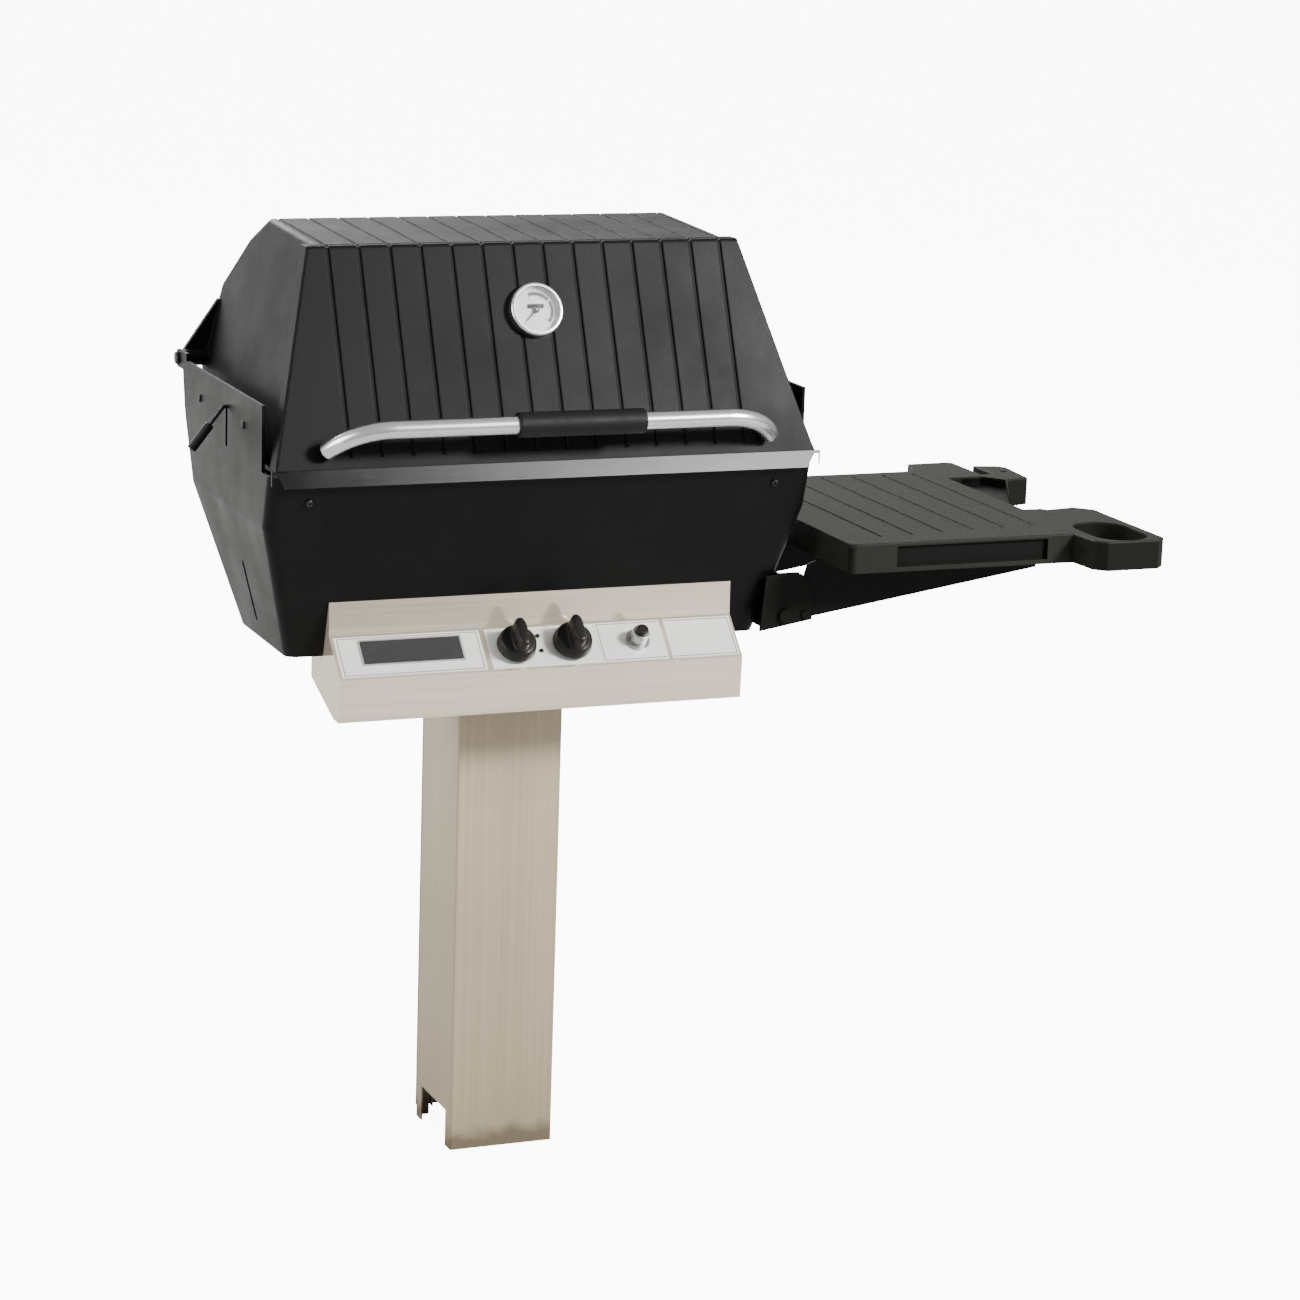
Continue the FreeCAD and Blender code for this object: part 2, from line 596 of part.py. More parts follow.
def hood():
    wall = "hood_wall"
    thick = "(hood_wall * 1.09)"
    side = [("lip_front + lip_plate", "hood_seat"), ("hood_side_back", "hood_seat"),
            ("hood_side_back", "hood_side_step"), ("hood_back", "hood_back_low"),
            ("hood_back", "hood_back_fold"), ("hood_slope_back", "hood_slope_height"),
            ("hood_fold_back", "hood_back_height"), ("hood_fold_front", "hood_fold_height"),
            ("hood_front", "rim_height")]
    front = half_outline([("hood_half", "hood_seat - 1"), ("hood_half", "rim_height"),
                          ("hood_top_half", "hood_back_height")])
    main = combine("Part::MultiCommon", "hood_main", prism("hood_side", "YZ", side, "hood_half * 3"),
                   [prism("hood_sides", "XZ", front, "open_reach * 2")])
    main = rounded(main, (front_fold, "front_fold_radius"), (back_fold, "back_fold_radius"),
                   (side_edge, "side_edge_radius"))
    band_side = [("lip_front", "lip_low"), ("lip_front + lip_plate", "lip_low"),
                 ("lip_front + lip_plate", "rim_height"), ("hood_front + band_depth", "rim_height"),
                 ("hood_fold_front + band_depth", "hood_fold_height + band_depth * " + TOP_SLOPE),
                 ("hood_fold_front", "hood_fold_height"), ("hood_front", "rim_height"),
                 ("lip_front", "rim_height - 3")]
    band_front = half_outline([("lip_half", "lip_low"), ("band_half", "rim_height"),
                               ("band_top_half", "hood_fold_height")])
    band = combine("Part::MultiCommon", "hood_band", prism("band_side", "YZ", band_side, "hood_half * 3"),
                   [prism("band_front", "XZ", band_front, "open_reach * 2")])
    band = rounded(band, (front_fold, "front_fold_radius"), (band_edge, "band_edge_radius"))
    solid = combine("Part::MultiFuse", "hood_solid", main, [band])
    solid.Refine = True
    doc.recompute()

    slope_in = on_front("(hood_seat + seat_plate)") + " + " + thick
    hollow_side = [("lip_front + lip_plate", "hood_seat - 60"), ("lip_front + lip_plate", "hood_seat"),
                   ("lip_front + lip_plate + seat_depth", "hood_seat"),
                   ("lip_front + lip_plate + seat_depth", "hood_seat + seat_plate"),
                   (slope_in, "hood_seat + seat_plate"),
                   ("hood_fold_front + 3.2", "hood_fold_height - " + wall),
                   ("hood_fold_back - 1", "hood_back_height - " + wall),
                   ("hood_slope_back - 3", "hood_slope_height - " + wall),
                   ("hood_back - " + wall, "hood_back_fold - 2"), ("hood_back - " + wall, "hood_seat - 60")]
    hollow_front = half_outline([("hood_half - " + wall, "hood_seat - 70"), ("hood_half - " + wall, "rim_height"),
                                 ("hood_top_half - " + wall, "hood_back_height")])
    hollow = combine("Part::MultiCommon", "hood_hollow", prism("hollow_side", "YZ", hollow_side,
                                                               "hood_half * 3"),
                     [prism("hollow_front", "XZ", hollow_front, "open_reach * 2")])
    hollow = rounded(hollow, (back_fold, "back_fold_radius - hood_wall"),
                     (side_edge, "side_edge_radius - hood_wall"))
    shell = combine("Part::Cut", "hood_shell", solid, hollow)

    bosses = new_body("hood_bosses")
    for sign in (1, -1):
        flat = sketch(bosses, "YZ", "%d * (cheek_half - box_wall - boss_gap)" % sign)
        circle(flat, "hinge_back", "hinge_height", "hood_boss")
        pad(bosses, flat, "hinge_boss_length", -sign)
        flat = sketch(bosses, "YZ", "%d * rack_boss_end" % sign)
        circle(flat, "rack_back", "rack_height", "rack_boss")
        pad(bosses, flat, "15", sign)
        foot, top, tip = "hinge_height - web_low", "web_top", "cheek_half - box_wall - boss_gap"
        at_foot, at_top = (leaning(height, "hood_half", "rim_height", "hood_top_half", "hood_back_height")
                           for height in (foot, top))
        web = [(at_foot + " - 2", foot), (tip, foot), (tip, "hinge_height + web_high"),
               (at_top + " + 3", top), (at_top + " - 2", top)]
        flat = sketch(bosses, "XZ", "hood_back - web_back")
        loop(flat, [("%d * (%s)" % (sign, across), up) for across, up in web])
        pad(bosses, flat, "web_plate", -1)
    whole = combine("Part::MultiFuse", "hood_whole", shell, [bosses])

    groove = new_body("hood_grooves")
    deep = "(groove_depth * 1.09)"
    foot = "(rim_height + groove_foot)"
    strip = [(on_front(foot) + " - 8", foot), (on_front(foot) + " + " + deep, foot),
             ("hood_fold_front + 1.3", "hood_fold_height - groove_depth"),
             ("hood_fold_back - 0.4", "hood_back_height - groove_depth"),
             ("hood_slope_back - 1.2", "hood_slope_height - groove_depth"),
             ("hood_slope_back + 9", "hood_slope_height + 9"), ("hood_fold_back + 6", "hood_back_height + 9"),
             ("hood_fold_front - 8", "hood_fold_height + 9")]
    flat = sketch(groove, "YZ", "-groove_pitch * (groove_count - 1) / 2")
    pad(groove, loop(flat, strip), "groove_width")
    row_of(groove, "X", "groove_pitch", "groove_count")

    channel = new_body("hood_channel")
    lip = "hood_fold_front + bead_width"
    floor = "hood_fold_height + bead_width * %s - channel_depth" % TOP_SLOPE
    flat = sketch(channel, "YZ")
    loop(flat, [(lip + " + 1", floor), (lip + " + channel_width - 1", floor),
                (lip + " + channel_width + 1", floor + " + 9"), (lip + " - 1", floor + " + 9")])
    pad(channel, flat, "groove_pitch * groove_count")

    drills = tilted_body("hood_drills", ON_HOOD)
    flat = sketch(drills, "XY")
    circle(flat, "0", along_front("dial_height"), "dial_stem + 0.3")
    for sign in ("", "-"):
        circle(flat, sign + "handle_half", HANDLE_BOLT_UP, "handle_bolt + 0.3")
    pad(drills, flat, "30")
    pins = new_body("hood_pin_holes")
    flat = sketch(pins, "YZ")
    circle(flat, "hinge_back", "hinge_height", "hinge_pin + running_gap")
    pad(pins, flat, "open_reach * 2")
    flat = sketch(pins, "YZ")
    circle(flat, "rack_back", "rack_height", "rack_pin + running_gap")
    pad(pins, flat, "(rack_boss_end + 11) * 2")
    tools = combine("Part::MultiFuse", "hood_tools", groove, [channel, drills, pins])
    return keep(combine("Part::Cut", "hood", whole, tools))



firebox()
hood()

# Lid fittings: a bright strip in front of the lip, the pins that the lid turns on with their rings, and
# a bent tube handle that stands on two cast feet, with a heat-proof grip sleeve
add_sizes("Lid", trim_plate=1.5, trim_rise=1.5, trim_hook=6.0, pin_head=8.0, pin_head_height=4.0, pin_length=46.7,
          clip_radius=6.0, clip_plate=2.0, clip_inset=2.0, foot_radius=9.0, foot_gap=0.05,
          handle_turn=64.0, grip_radius=15.5, grip_left=-60.0, grip_right=105.0, handle_bolt_head=7.0,
          handle_bolt_head_height=5.0)
ON_HANDLE = (("0", on_front("handle_height"), "handle_height"), "%s - handle_lift * 1 deg" % FRONT_ANGLE)


def hood_front_trim():
    body = new_body("hood_front_trim")
    foot = "lip_low - trim_rise"
    head = "rim_height + trim_rise - trim_plate"
    face = half_outline([("lip_half", foot), ("band_half", head)])
    pad(body, loop(sketch(body, "XZ", "lip_front"), face), "trim_plate", -1)
    for sign in ("", "-"):
        hook = sketch(body, "XZ", "lip_front")
        box(hook, sign + "(band_half + trim_hook)" if sign else "band_half - 5", head + " - 4",
            sign + "(band_half - 5)" if sign else "band_half + trim_hook", head)
        box(hook, sign + "(band_half + trim_hook)" if sign else "band_half + trim_hook - trim_plate",
            foot + " + 4", sign + "(band_half + trim_hook - trim_plate)" if sign else "band_half + trim_hook",
            head + " - 4")
        pad(body, hook, "trim_plate", -1)
    return keep(body)


def hinge_pins():
    body = new_body("hinge_pins")
    clips = new_body("hinge_clips")
    for sign in (1, -1):
        flat = sketch(body, "YZ", "%d * cheek_half" % sign)
        circle(flat, "hinge_back", "hinge_height", "pin_head")
        pad(body, flat, "pin_head_height", sign)
        flat = sketch(body, "YZ", "%d * cheek_half" % sign)
        circle(flat, "hinge_back", "hinge_height", "hinge_pin")
        pad(body, flat, "pin_length", -sign)
        flat = sketch(clips, "YZ", "%d * (cheek_half - pin_length + clip_inset)" % sign)
        circle(flat, "hinge_back", "hinge_height", "clip_radius")
        circle(flat, "hinge_back", "hinge_height", "hinge_pin + 0.02")
        pad(clips, flat, "clip_plate", -sign)
    soften(body, lambda e: near(abs(e.CenterOfMass.x), value("cheek_half + pin_head_height")),
           "pin_head_height * 0.4")
    keep(body)
    keep(clips)


def handle_outline(name, outer, inner=None):
    """The bent tube, or the solid bar that fills it, in the handle's own tilted frame."""
    body = tilted_body(name, ON_HANDLE)

    def rings(flat, across, up):
        circle(flat, across, up, outer)
        if inner:
            circle(flat, across, up, inner)
        return flat

    pad(body, rings(sketch(body, "YZ"), "0", "handle_reach"), "handle_straight * 2")
    for sign in (1, -1):
        flat = rings(sketch(body, "YZ", "%d * handle_straight" % sign), "0", "handle_reach")
        level = value("handle_reach - handle_bend")
        axis = flat.addGeometry(Part.LineSegment(V(-20, level, 0), V(20, level, 0)), True)
        place_point(flat, axis, 1, "-20", "handle_reach - handle_bend")
        place_point(flat, axis, 2, "20", "handle_reach - handle_bend")
        bend = body.newObject("PartDesign::Revolution", "Bend")
        bend.Profile = flat
        bend.ReferenceAxis = (flat, ["Axis0"])
        bind(bend, "Angle", "handle_turn")
        bend.Reversed = sign < 0
        doc.recompute()
    return body


def handle():
    tube = handle_outline("handle_pipe", "handle_tube", "handle_tube - handle_wall")
    bar = handle_outline("handle_bar", "handle_tube + foot_gap")
    bolts = tilted_body("handle_bolt_holes", ON_HOOD)
    flat = sketch(bolts, "XY")
    feet = tilted_body("handle_foot_posts", ON_HOOD)
    posts = sketch(feet, "XY", "foot_gap")
    bores = sketch(feet, "XY")
    for sign in ("", "-"):
        circle(flat, sign + "handle_half", HANDLE_BOLT_UP, "handle_bolt + 0.2")
        circle(posts, sign + "handle_half", HANDLE_BOLT_UP, "foot_radius")
        circle(bores, sign + "handle_half", HANDLE_BOLT_UP, "handle_bolt + 0.2")
    pad(bolts, flat, HANDLE_AT_BOLT, 1)
    pad(feet, posts, HANDLE_AT_BOLT, 1)
    pocket(feet, bores)
    keep(combine("Part::Cut", "handle_tube", tube, bolts))
    keep(combine("Part::Cut", "handle_feet", feet, bar))
    screws("handle_bolts", "XY", "-hood_wall", -1, [(sign + "handle_half", HANDLE_BOLT_UP) for sign in ("", "-")],
           "handle_bolt_head", "handle_bolt_head_height", "handle_bolt", "hood_wall + %s - 1" % HANDLE_AT_BOLT,
           "3", ON_HOOD)
    grip = tilted_body("handle_grip", ON_HANDLE)
    flat = sketch(grip, "YZ", "grip_left")
    circle(flat, "0", "handle_reach", "grip_radius")
    circle(flat, "0", "handle_reach", "handle_tube + foot_gap")
    pad(grip, flat, "grip_right - grip_left", 1)
    soften(grip, lambda e: e.Length > value("grip_radius") * 6, "2.5")
    keep(grip)


# Thermometer: a cup with a rolled bezel and a threaded stem through the lid, a printed face, a pointer on
# a pivot, a glass, and a nut inside
add_sizes("Dial", bezel_radius=34.0, bezel_height=11.0, bezel_lip=29.5, cup_wall=2.5, cup_floor=2.5, dial_plate=0.6,
          glass_plate=2.0, glass_drop=1.5, pivot_radius=1.0, pivot_rise=6.2, pointer_lift=1.0,
          pointer_plate=0.8, pointer_hub=4.0, pointer_length=23.0, pointer_tail=9.0, pointer_width=3.0,
          stem_length=22.0, probe_radius=3.0, probe_length=70.0, nut_radius=14.0, nut_height=6.0)
ON_DIAL = (("0", on_front("dial_height"), "dial_height"), FRONT_ANGLE)


def thermometer():
    case = tilted_body("thermo_case", ON_DIAL)
    pad(case, circle(sketch(case, "XY", "foot_gap"), "0", "0", "bezel_radius"), "bezel_height", 1)
    soften(case, lambda e: near(e.CenterOfMass.z, value("bezel_height + foot_gap")), "3")
    pocket(case, circle(sketch(case, "XY", "bezel_height + foot_gap"), "0", "0", "bezel_lip"), "glass_drop + 0.1",
           -1)
    inside = sketch(case, "XY", "bezel_height - glass_drop")
    pocket(case, circle(inside, "0", "0", "bezel_radius - cup_wall"), "bezel_height - glass_drop - cup_floor", -1)
    pad(case, circle(sketch(case, "XY", "cup_floor"), "0", "0", "pivot_radius"), "pivot_rise", 1)
    pad(case, circle(sketch(case, "XY", "1"), "0", "0", "dial_stem"), "stem_length", -1)
    pad(case, circle(sketch(case, "XY", "0"), "0", "0", "probe_radius"), "probe_length", -1)
    keep(case)
    dial = tilted_body("thermo_dial", ON_DIAL)
    flat = sketch(dial, "XY", "cup_floor")
    circle(flat, "0", "0", "bezel_radius - cup_wall - 0.2")
    circle(flat, "0", "0", "pivot_radius + 0.3")
    pad(dial, flat, "dial_plate", 1)
    keep(dial)
    glass = tilted_body("thermo_glass", ON_DIAL)
    flat = sketch(glass, "XY", "bezel_height - glass_drop - glass_plate - 0.05")
    pad(glass, circle(flat, "0", "0", "bezel_radius - cup_wall - 0.25"), "glass_plate", 1)
    keep(glass)
    needle = tilted_body("thermo_needle", ON_DIAL)
    level = "cup_floor + dial_plate + pointer_lift"
    blade = [("-pointer_tail * 0.7071 - pointer_width / 2", "-pointer_tail * 0.7071 + pointer_width / 2"),
             ("-pointer_tail * 0.7071 + pointer_width / 2", "-pointer_tail * 0.7071 - pointer_width / 2"),
             ("pointer_length * 0.7071", "pointer_length * 0.7071")]
    blade = [("-(%s)" % across, "-(%s)" % up) for across, up in blade]
    pad(needle, loop(sketch(needle, "XY", level), blade), "pointer_plate", 1)
    pad(needle, circle(sketch(needle, "XY", level), "0", "0", "pointer_hub"), "pointer_plate * 2", 1)
    pocket(needle, circle(sketch(needle, "XY"), "0", "0", "pivot_radius + running_gap"))
    keep(needle)
    nut = tilted_body("thermo_nut", ON_DIAL)
    flat = sketch(nut, "XY", "-hood_wall * 1.05 - foot_gap")
    corners = [("nut_radius * %.6f" % math.cos(math.pi * k / 3), "nut_radius * %.6f" % math.sin(math.pi * k / 3))
               for k in range(6)]
    loop(flat, corners)
    circle(flat, "0", "0", "dial_stem + 0.1")
    pad(nut, flat, "nut_height", -1)
    keep(nut)


hood_front_trim()
hinge_pins()
handle()
thermometer()

# Control panel: one stainless sheet folded round the front, with end plates and four tabs that screw up
# into the firebox floor, and the stick-on label fields, all left bare
add_sizes("Panel", panel_half=266.0, panel_sheet=1.5, panel_top=755.0, panel_top_front=-140.3, fold_high=713.0,
          fold_high_front=-141.5, fold_low=668.0, fold_low_front=-188.0, panel_low=614.0,
          panel_low_front=-185.0, panel_return=22.0, end_back=-70.0, end_low=646.0, tab_width=18.0,
          stem_hole=8.0, igniter_place=131.0, igniter_hole=11.2, label_plate=0.6, label_half=29.0,
          plate_high=24.0, plate_low=-14.0, label_screw=1.6, label_screw_head=2.8)
FACE_ANGLE = "atan((fold_high - fold_low) / (fold_high_front - fold_low_front))"
ON_FACE = (("0", "(fold_high_front + fold_low_front) / 2", "(fold_high + fold_low) / 2"), FACE_ANGLE)
LABEL_SCREWS = [("1", "15"), ("1", "-7")]


def control_panel():
    body = new_body("control_panel")
    line = [("panel_top_front", "panel_top"), ("fold_high_front", "fold_high"),
            ("fold_low_front", "fold_low"), ("panel_low_front", "panel_low"),
            ("panel_low_front + panel_return", "panel_low")]
    pad(body, loop(sketch(body, "YZ"), sheet_outline(line, "panel_sheet")), "panel_half * 2")
    front_lean = leaning("panel_top", "box_front_low", "floor_height", "box_front_high", "front_rim")
    cheek = line[:4] + [("panel_low_front + panel_return", "panel_low"), ("end_back", "end_low"),
                        ("end_back", "floor_height - 0.2"), ("box_front_low - 0.6", "floor_height - 0.2"),
                        (front_lean + " - 0.6", "panel_top")]
    for sign in (1, -1):
        pad(body, loop(sketch(body, "YZ", "%d * panel_half" % sign), cheek), "panel_sheet", -sign)
        flat = sketch(body, "XZ", "box_front_low + 3")
        low, high = "panel_half - tab_width", "panel_half - panel_sheet / 2"
        ends = (low, high) if sign > 0 else ("-(%s)" % high, "-(%s)" % low)
        box(flat, ends[0], "floor_height - 0.2 - panel_sheet", ends[1], "floor_height - 0.2")
        pad(body, flat, "end_back - box_front_low - 6", 1)
    tabs = sketch(body, "XY", "floor_height")
    for across, up in PANEL_SCREWS:
        circle(tabs, across, up, "small_screw + 0.2")
    pocket(body, tabs, "10", -1)
    holes = tilted_body("panel_face_holes", ON_FACE)
    flat = sketch(holes, "XY")
    for place in ("knob_left_place", "knob_right_place"):
        circle(flat, place, "0", "stem_hole")
    circle(flat, "igniter_place", "0", "igniter_hole")
    for across, up in LABEL_SCREWS:
        circle(flat, across, up, "label_screw + 0.1")
    pad(holes, flat, "8")
    body.Label = "control_panel_sheet"
    keep(combine("Part::Cut", "control_panel", body, holes))
    screws("panel_screws", "XY", "floor_height - 0.2 - panel_sheet", -1, PANEL_SCREWS,
           "small_head", "3", "small_screw", "panel_sheet + floor_plate + 4", "1.6", group="small_screws")


def labels():
    body = tilted_body("panel_label", ON_FACE)
    flat = sketch(body, "XY", "foot_gap")
    for left, right, low, high in (("-262", "-74", "-label_half", "label_half"),
                                   ("-67", "78", "-label_half", "label_half"),
                                   ("78.6", "167", "-label_half", "label_half"),
                                   ("172", "263", "-label_half", "label_half")):
        box(flat, left, low, right, high)
    for place in ("knob_left_place", "knob_right_place"):
        circle(flat, place, "0", "stem_hole")
    circle(flat, "igniter_place", "0", "igniter_hole")
    for across, up in LABEL_SCREWS:
        circle(flat, across, up, "label_screw + 0.1")
    pad(body, flat, "label_plate", 1)
    keep(body)
    plate = tilted_body("nameplate", ON_FACE)
    pad(plate, box(sketch(plate, "XY", "label_plate + foot_gap * 2"), "-233", "plate_low", "-99", "plate_high"),
        "0.8", 1)
    soften(plate, lambda e: runs_along(e, AXIS["XY"]), "3")
    keep(plate)
    screws("label_screws", "XY", "label_plate + foot_gap * 2", 1, LABEL_SCREWS, "label_screw_head", "1.6",
           "label_screw", "8", "1", ON_FACE)


# Gas line under the firebox floor: a pipe with an inlet stub at its right end, two valves that screw
# into its top and send gas up the venturi tubes, and the brackets that hold it
add_sizes("Gas", pipe_front=-128.0, pipe_height=640.0, pipe_radius=8.5, pipe_bore=6.5, pipe_left=-92.0,
          pipe_right=162.0, stub_place=150.0, stub_radius=7.9, stub_length=14.0, stub_collar=9.6,
          stub_drop=10.0, stub_bore=5.0, valve_near=12.0,
          valve_far=52.0, valve_radius=9.0, valve_bore=5.05, valve_bore_far=50.0, plug_radius=5.0,
          plug_near=16.0, plug_far=49.8, stem_radius=3.5, stem_far=36.0, socket_far=41.0, shank_radius=4.0,
          valve_arm=6.0, valve_arm_height=658.0, spud_top=674.0, spud_bore=1.2, hanger_plate=3.0,
          hanger_low=627.0, venturi_radius=14.0, venturi_wall=1.2, venturi_low=670.0, collar_radius=19.0,
          collar_plate=2.0, burner_low=746.0)


def gas_manifold():
    body = new_body("gas_manifold")
    pad(body, circle(sketch(body, "YZ", "pipe_left"), "pipe_front", "pipe_height", "pipe_radius"),
        "pipe_right - pipe_left", 1)
    pad(body, circle(sketch(body, "XY", "pipe_height"), "stub_place", "pipe_front", "stub_collar"),
        "stub_drop", -1)
    pad(body, circle(sketch(body, "XY", "pipe_height"), "stub_place", "pipe_front", "stub_radius"),
        "stub_drop + stub_length", -1)
    pocket(body, circle(sketch(body, "YZ", "pipe_left + 4"), "pipe_front", "pipe_height", "pipe_bore"),
           "pipe_right - pipe_left - 8", 1)
    pocket(body, circle(sketch(body, "XY", "pipe_height - stub_drop - stub_length"), "stub_place", "pipe_front",
                        "stub_bore"), "stub_drop + stub_length", 1)
    taps = sketch(body, "XY", "pipe_height + pipe_radius")
    for place in ("knob_left_place", "knob_right_place"):
        circle(taps, place, "pipe_front", "shank_radius + 0.05")
    pocket(body, taps, "pipe_radius - 1", -1)
    keep(body)
    hangers = new_body("manifold_brackets")
    for place in ("pipe_bracket_left", "pipe_bracket_right"):
        flat = sketch(hangers, "YZ", place)
        loop(flat, [("pipe_front - 13", "hanger_low"), ("pipe_front + 13", "hanger_low"),
                    ("pipe_front + 13", "floor_height - 18"), ("pipe_screw_back + 8", "floor_height - hanger_plate"),
                    ("pipe_screw_back + 8", "floor_height"), ("box_front_low + 2", "floor_height"),
                    ("pipe_front - 13", "pipe_height + 15")])
        circle(flat, "pipe_front", "pipe_height", "pipe_radius + 0.05")
        pad(hangers, flat, "hanger_plate", 1)
        foot = sketch(hangers, "XY", "floor_height")
        box(foot, place, "box_front_low + 5", place + " + pipe_screw_side + 8", "pipe_screw_back + 8")
        pad(hangers, foot, "hanger_plate", -1)
    holes = sketch(hangers, "XY")
    for across, up in PIPE_SCREWS:
        circle(holes, across, up, "small_screw + 0.2")
    pocket(hangers, holes)
    keep(hangers)
    screws("manifold_screws", "XY", "floor_height - hanger_plate", -1, PIPE_SCREWS,
           "small_head", "3", "small_screw", "hanger_plate + floor_plate + 3", "1.6", group="small_screws")


def valve(side, place):
    face = ((place,) + ON_FACE[0][1:], ON_FACE[1])
    barrel = tilted_body("valve_barrel_" + side, face)
    pad(barrel, circle(sketch(barrel, "XY", "-valve_near"), "0", "0", "valve_radius"),
        "valve_far - valve_near", -1)
    arms = new_body("valve_arms_" + side)
    pad(arms, circle(sketch(arms, "XY", "pipe_height + pipe_radius - 4"), place, "pipe_front", "shank_radius"),
        "valve_arm_height - pipe_height - pipe_radius + 4", 1)
    pad(arms, circle(sketch(arms, "XY", "pipe_height + pipe_radius + 0.1"), place, "pipe_front", "shank_radius + 3"),
        "valve_arm_height - pipe_height - pipe_radius", 1)
    pad(arms, circle(sketch(arms, "XZ", "pipe_front - 4"), place, "valve_arm_height", "valve_arm"),
        "inlet_place - pipe_front + 4 + valve_arm", 1)
    pad(arms, circle(sketch(arms, "XY", "valve_arm_height"), place, "inlet_place", "valve_arm - 1"),
        "spud_top - valve_arm_height", 1)
    pocket(arms, circle(sketch(arms, "XY", "spud_top"), place, "inlet_place", "spud_bore"), "8", -1)
    bore = tilted_body("valve_bore_" + side, face)
    pad(bore, circle(sketch(bore, "XY", "-valve_near + 1"), "0", "0", "valve_bore"),
        "valve_bore_far - valve_near + 1", -1)
    joined = combine("Part::MultiFuse", "valve_solid_" + side, barrel, [arms])
    gather("gas_valves", combine("Part::Cut", "valve_" + side, joined, bore))
    plug = tilted_body("valve_plug_" + side, face)
    pad(plug, circle(sketch(plug, "XY", "-plug_near"), "0", "0", "plug_radius"), "plug_far - plug_near", -1)
    pocket(plug, circle(sketch(plug, "XY", "-plug_near"), "0", "0", "stem_radius + running_gap"),
           "socket_far - plug_near", -1)
    keep(plug)


# Knobs: each a skirted cap with a wing grip and a pointer line, on a stem that slides in the valve's
# plug; the igniter is a plated barrel with a nut behind the panel and a push button
add_sizes("Knob", knob_radius=22.5, knob_lift=4.6, knob_skirt=7.0, knob_core=15.0, knob_height=22.0,
          wing_half=5.0, wing_reach=20.5, knob_socket=14.0, pointer_slot=1.6, pointer_slot_depth=0.8,
          barrel_flange=15.5, barrel_flange_plate=3.0, barrel_radius=11.0, barrel_rise=20.0, barrel_drop=34.0,
          button_radius=7.5, button_rise=28.0, button_drop=22.0, barrel_bore=7.6, barrel_nut=15.0,
          barrel_nut_plate=5.0)


def knob(side, place):
    face = ((place,) + ON_FACE[0][1:], ON_FACE[1])
    stem = tilted_body("valve_stem_" + side, face)
    pad(stem, circle(sketch(stem, "XY", "-stem_far"), "0", "0", "stem_radius"),
        "stem_far + knob_lift + knob_socket - 0.5", 1)
    keep(stem)
    cap = tilted_body("knob_" + side, face)
    pad(cap, circle(sketch(cap, "XY", "knob_lift"), "0", "0", "knob_radius"), "knob_skirt", 1)
    soften(cap, lambda e: near(e.CenterOfMass.z, value("knob_lift + knob_skirt")), "2.5")
    pad(cap, circle(sketch(cap, "XY", "knob_lift"), "0", "0", "knob_core"), "knob_skirt + 3", 1)
    wing = slot(sketch(cap, "XY", "knob_lift"), "0", "0", "wing_reach * 2", "wing_half * 2", True)
    pad(cap, wing, "knob_height", 1)
    soften(cap, lambda e: near(e.CenterOfMass.z, value("knob_lift + knob_height")), "2")
    pocket(cap, circle(sketch(cap, "XY", "knob_lift"), "0", "0", "stem_radius + running_gap"), "knob_socket", 1)
    flat = sketch(cap, "XY", "knob_lift + knob_height")
    box(flat, "-pointer_slot / 2", "2", "pointer_slot / 2", "wing_reach - 3")
    pocket(cap, flat, "pointer_slot_depth", -1)
    keep(cap)


def igniter():
    face = (("igniter_place",) + ON_FACE[0][1:], ON_FACE[1])
    barrel = tilted_body("igniter_barrel", face)
    level = "label_plate + foot_gap * 2"
    pad(barrel, circle(sketch(barrel, "XY", level), "0", "0", "barrel_flange"), "barrel_flange_plate", 1)
    pad(barrel, circle(sketch(barrel, "XY", level), "0", "0", "barrel_radius"), "barrel_rise", 1)
    soften(barrel, lambda e: near(e.CenterOfMass.z, value(level + " + barrel_rise")), "1.5")
    pad(barrel, circle(sketch(barrel, "XY", level), "0", "0", "barrel_radius"), "barrel_drop", -1)
    pocket(barrel, circle(sketch(barrel, "XY", level + " + barrel_rise"), "0", "0", "barrel_bore"),
           "barrel_rise + barrel_drop - 4", -1)
    keep(barrel)
    nut = tilted_body("igniter_nut", face)
    flat = sketch(nut, "XY", "-panel_sheet - foot_gap")
    loop(flat, [("barrel_nut * %.6f" % math.cos(math.pi * k / 3), "barrel_nut * %.6f" % math.sin(math.pi * k / 3))
                for k in range(6)])
    circle(flat, "0", "0", "barrel_radius + 0.1")
    pad(nut, flat, "barrel_nut_plate", -1)
    keep(nut)
    button = tilted_body("igniter_button", face)
    pad(button, circle(sketch(button, "XY", "-button_drop"), "0", "0", "button_radius"),
        "button_drop + button_rise", 1)
    soften(button, lambda e: near(e.CenterOfMass.z, value("button_rise")), "2")
    keep(button)


control_panel()
labels()
gas_manifold()
for side in ("left", "right"):
    valve(side, "knob_%s_place" % side)
    knob(side, "knob_%s_place" % side)
igniter()

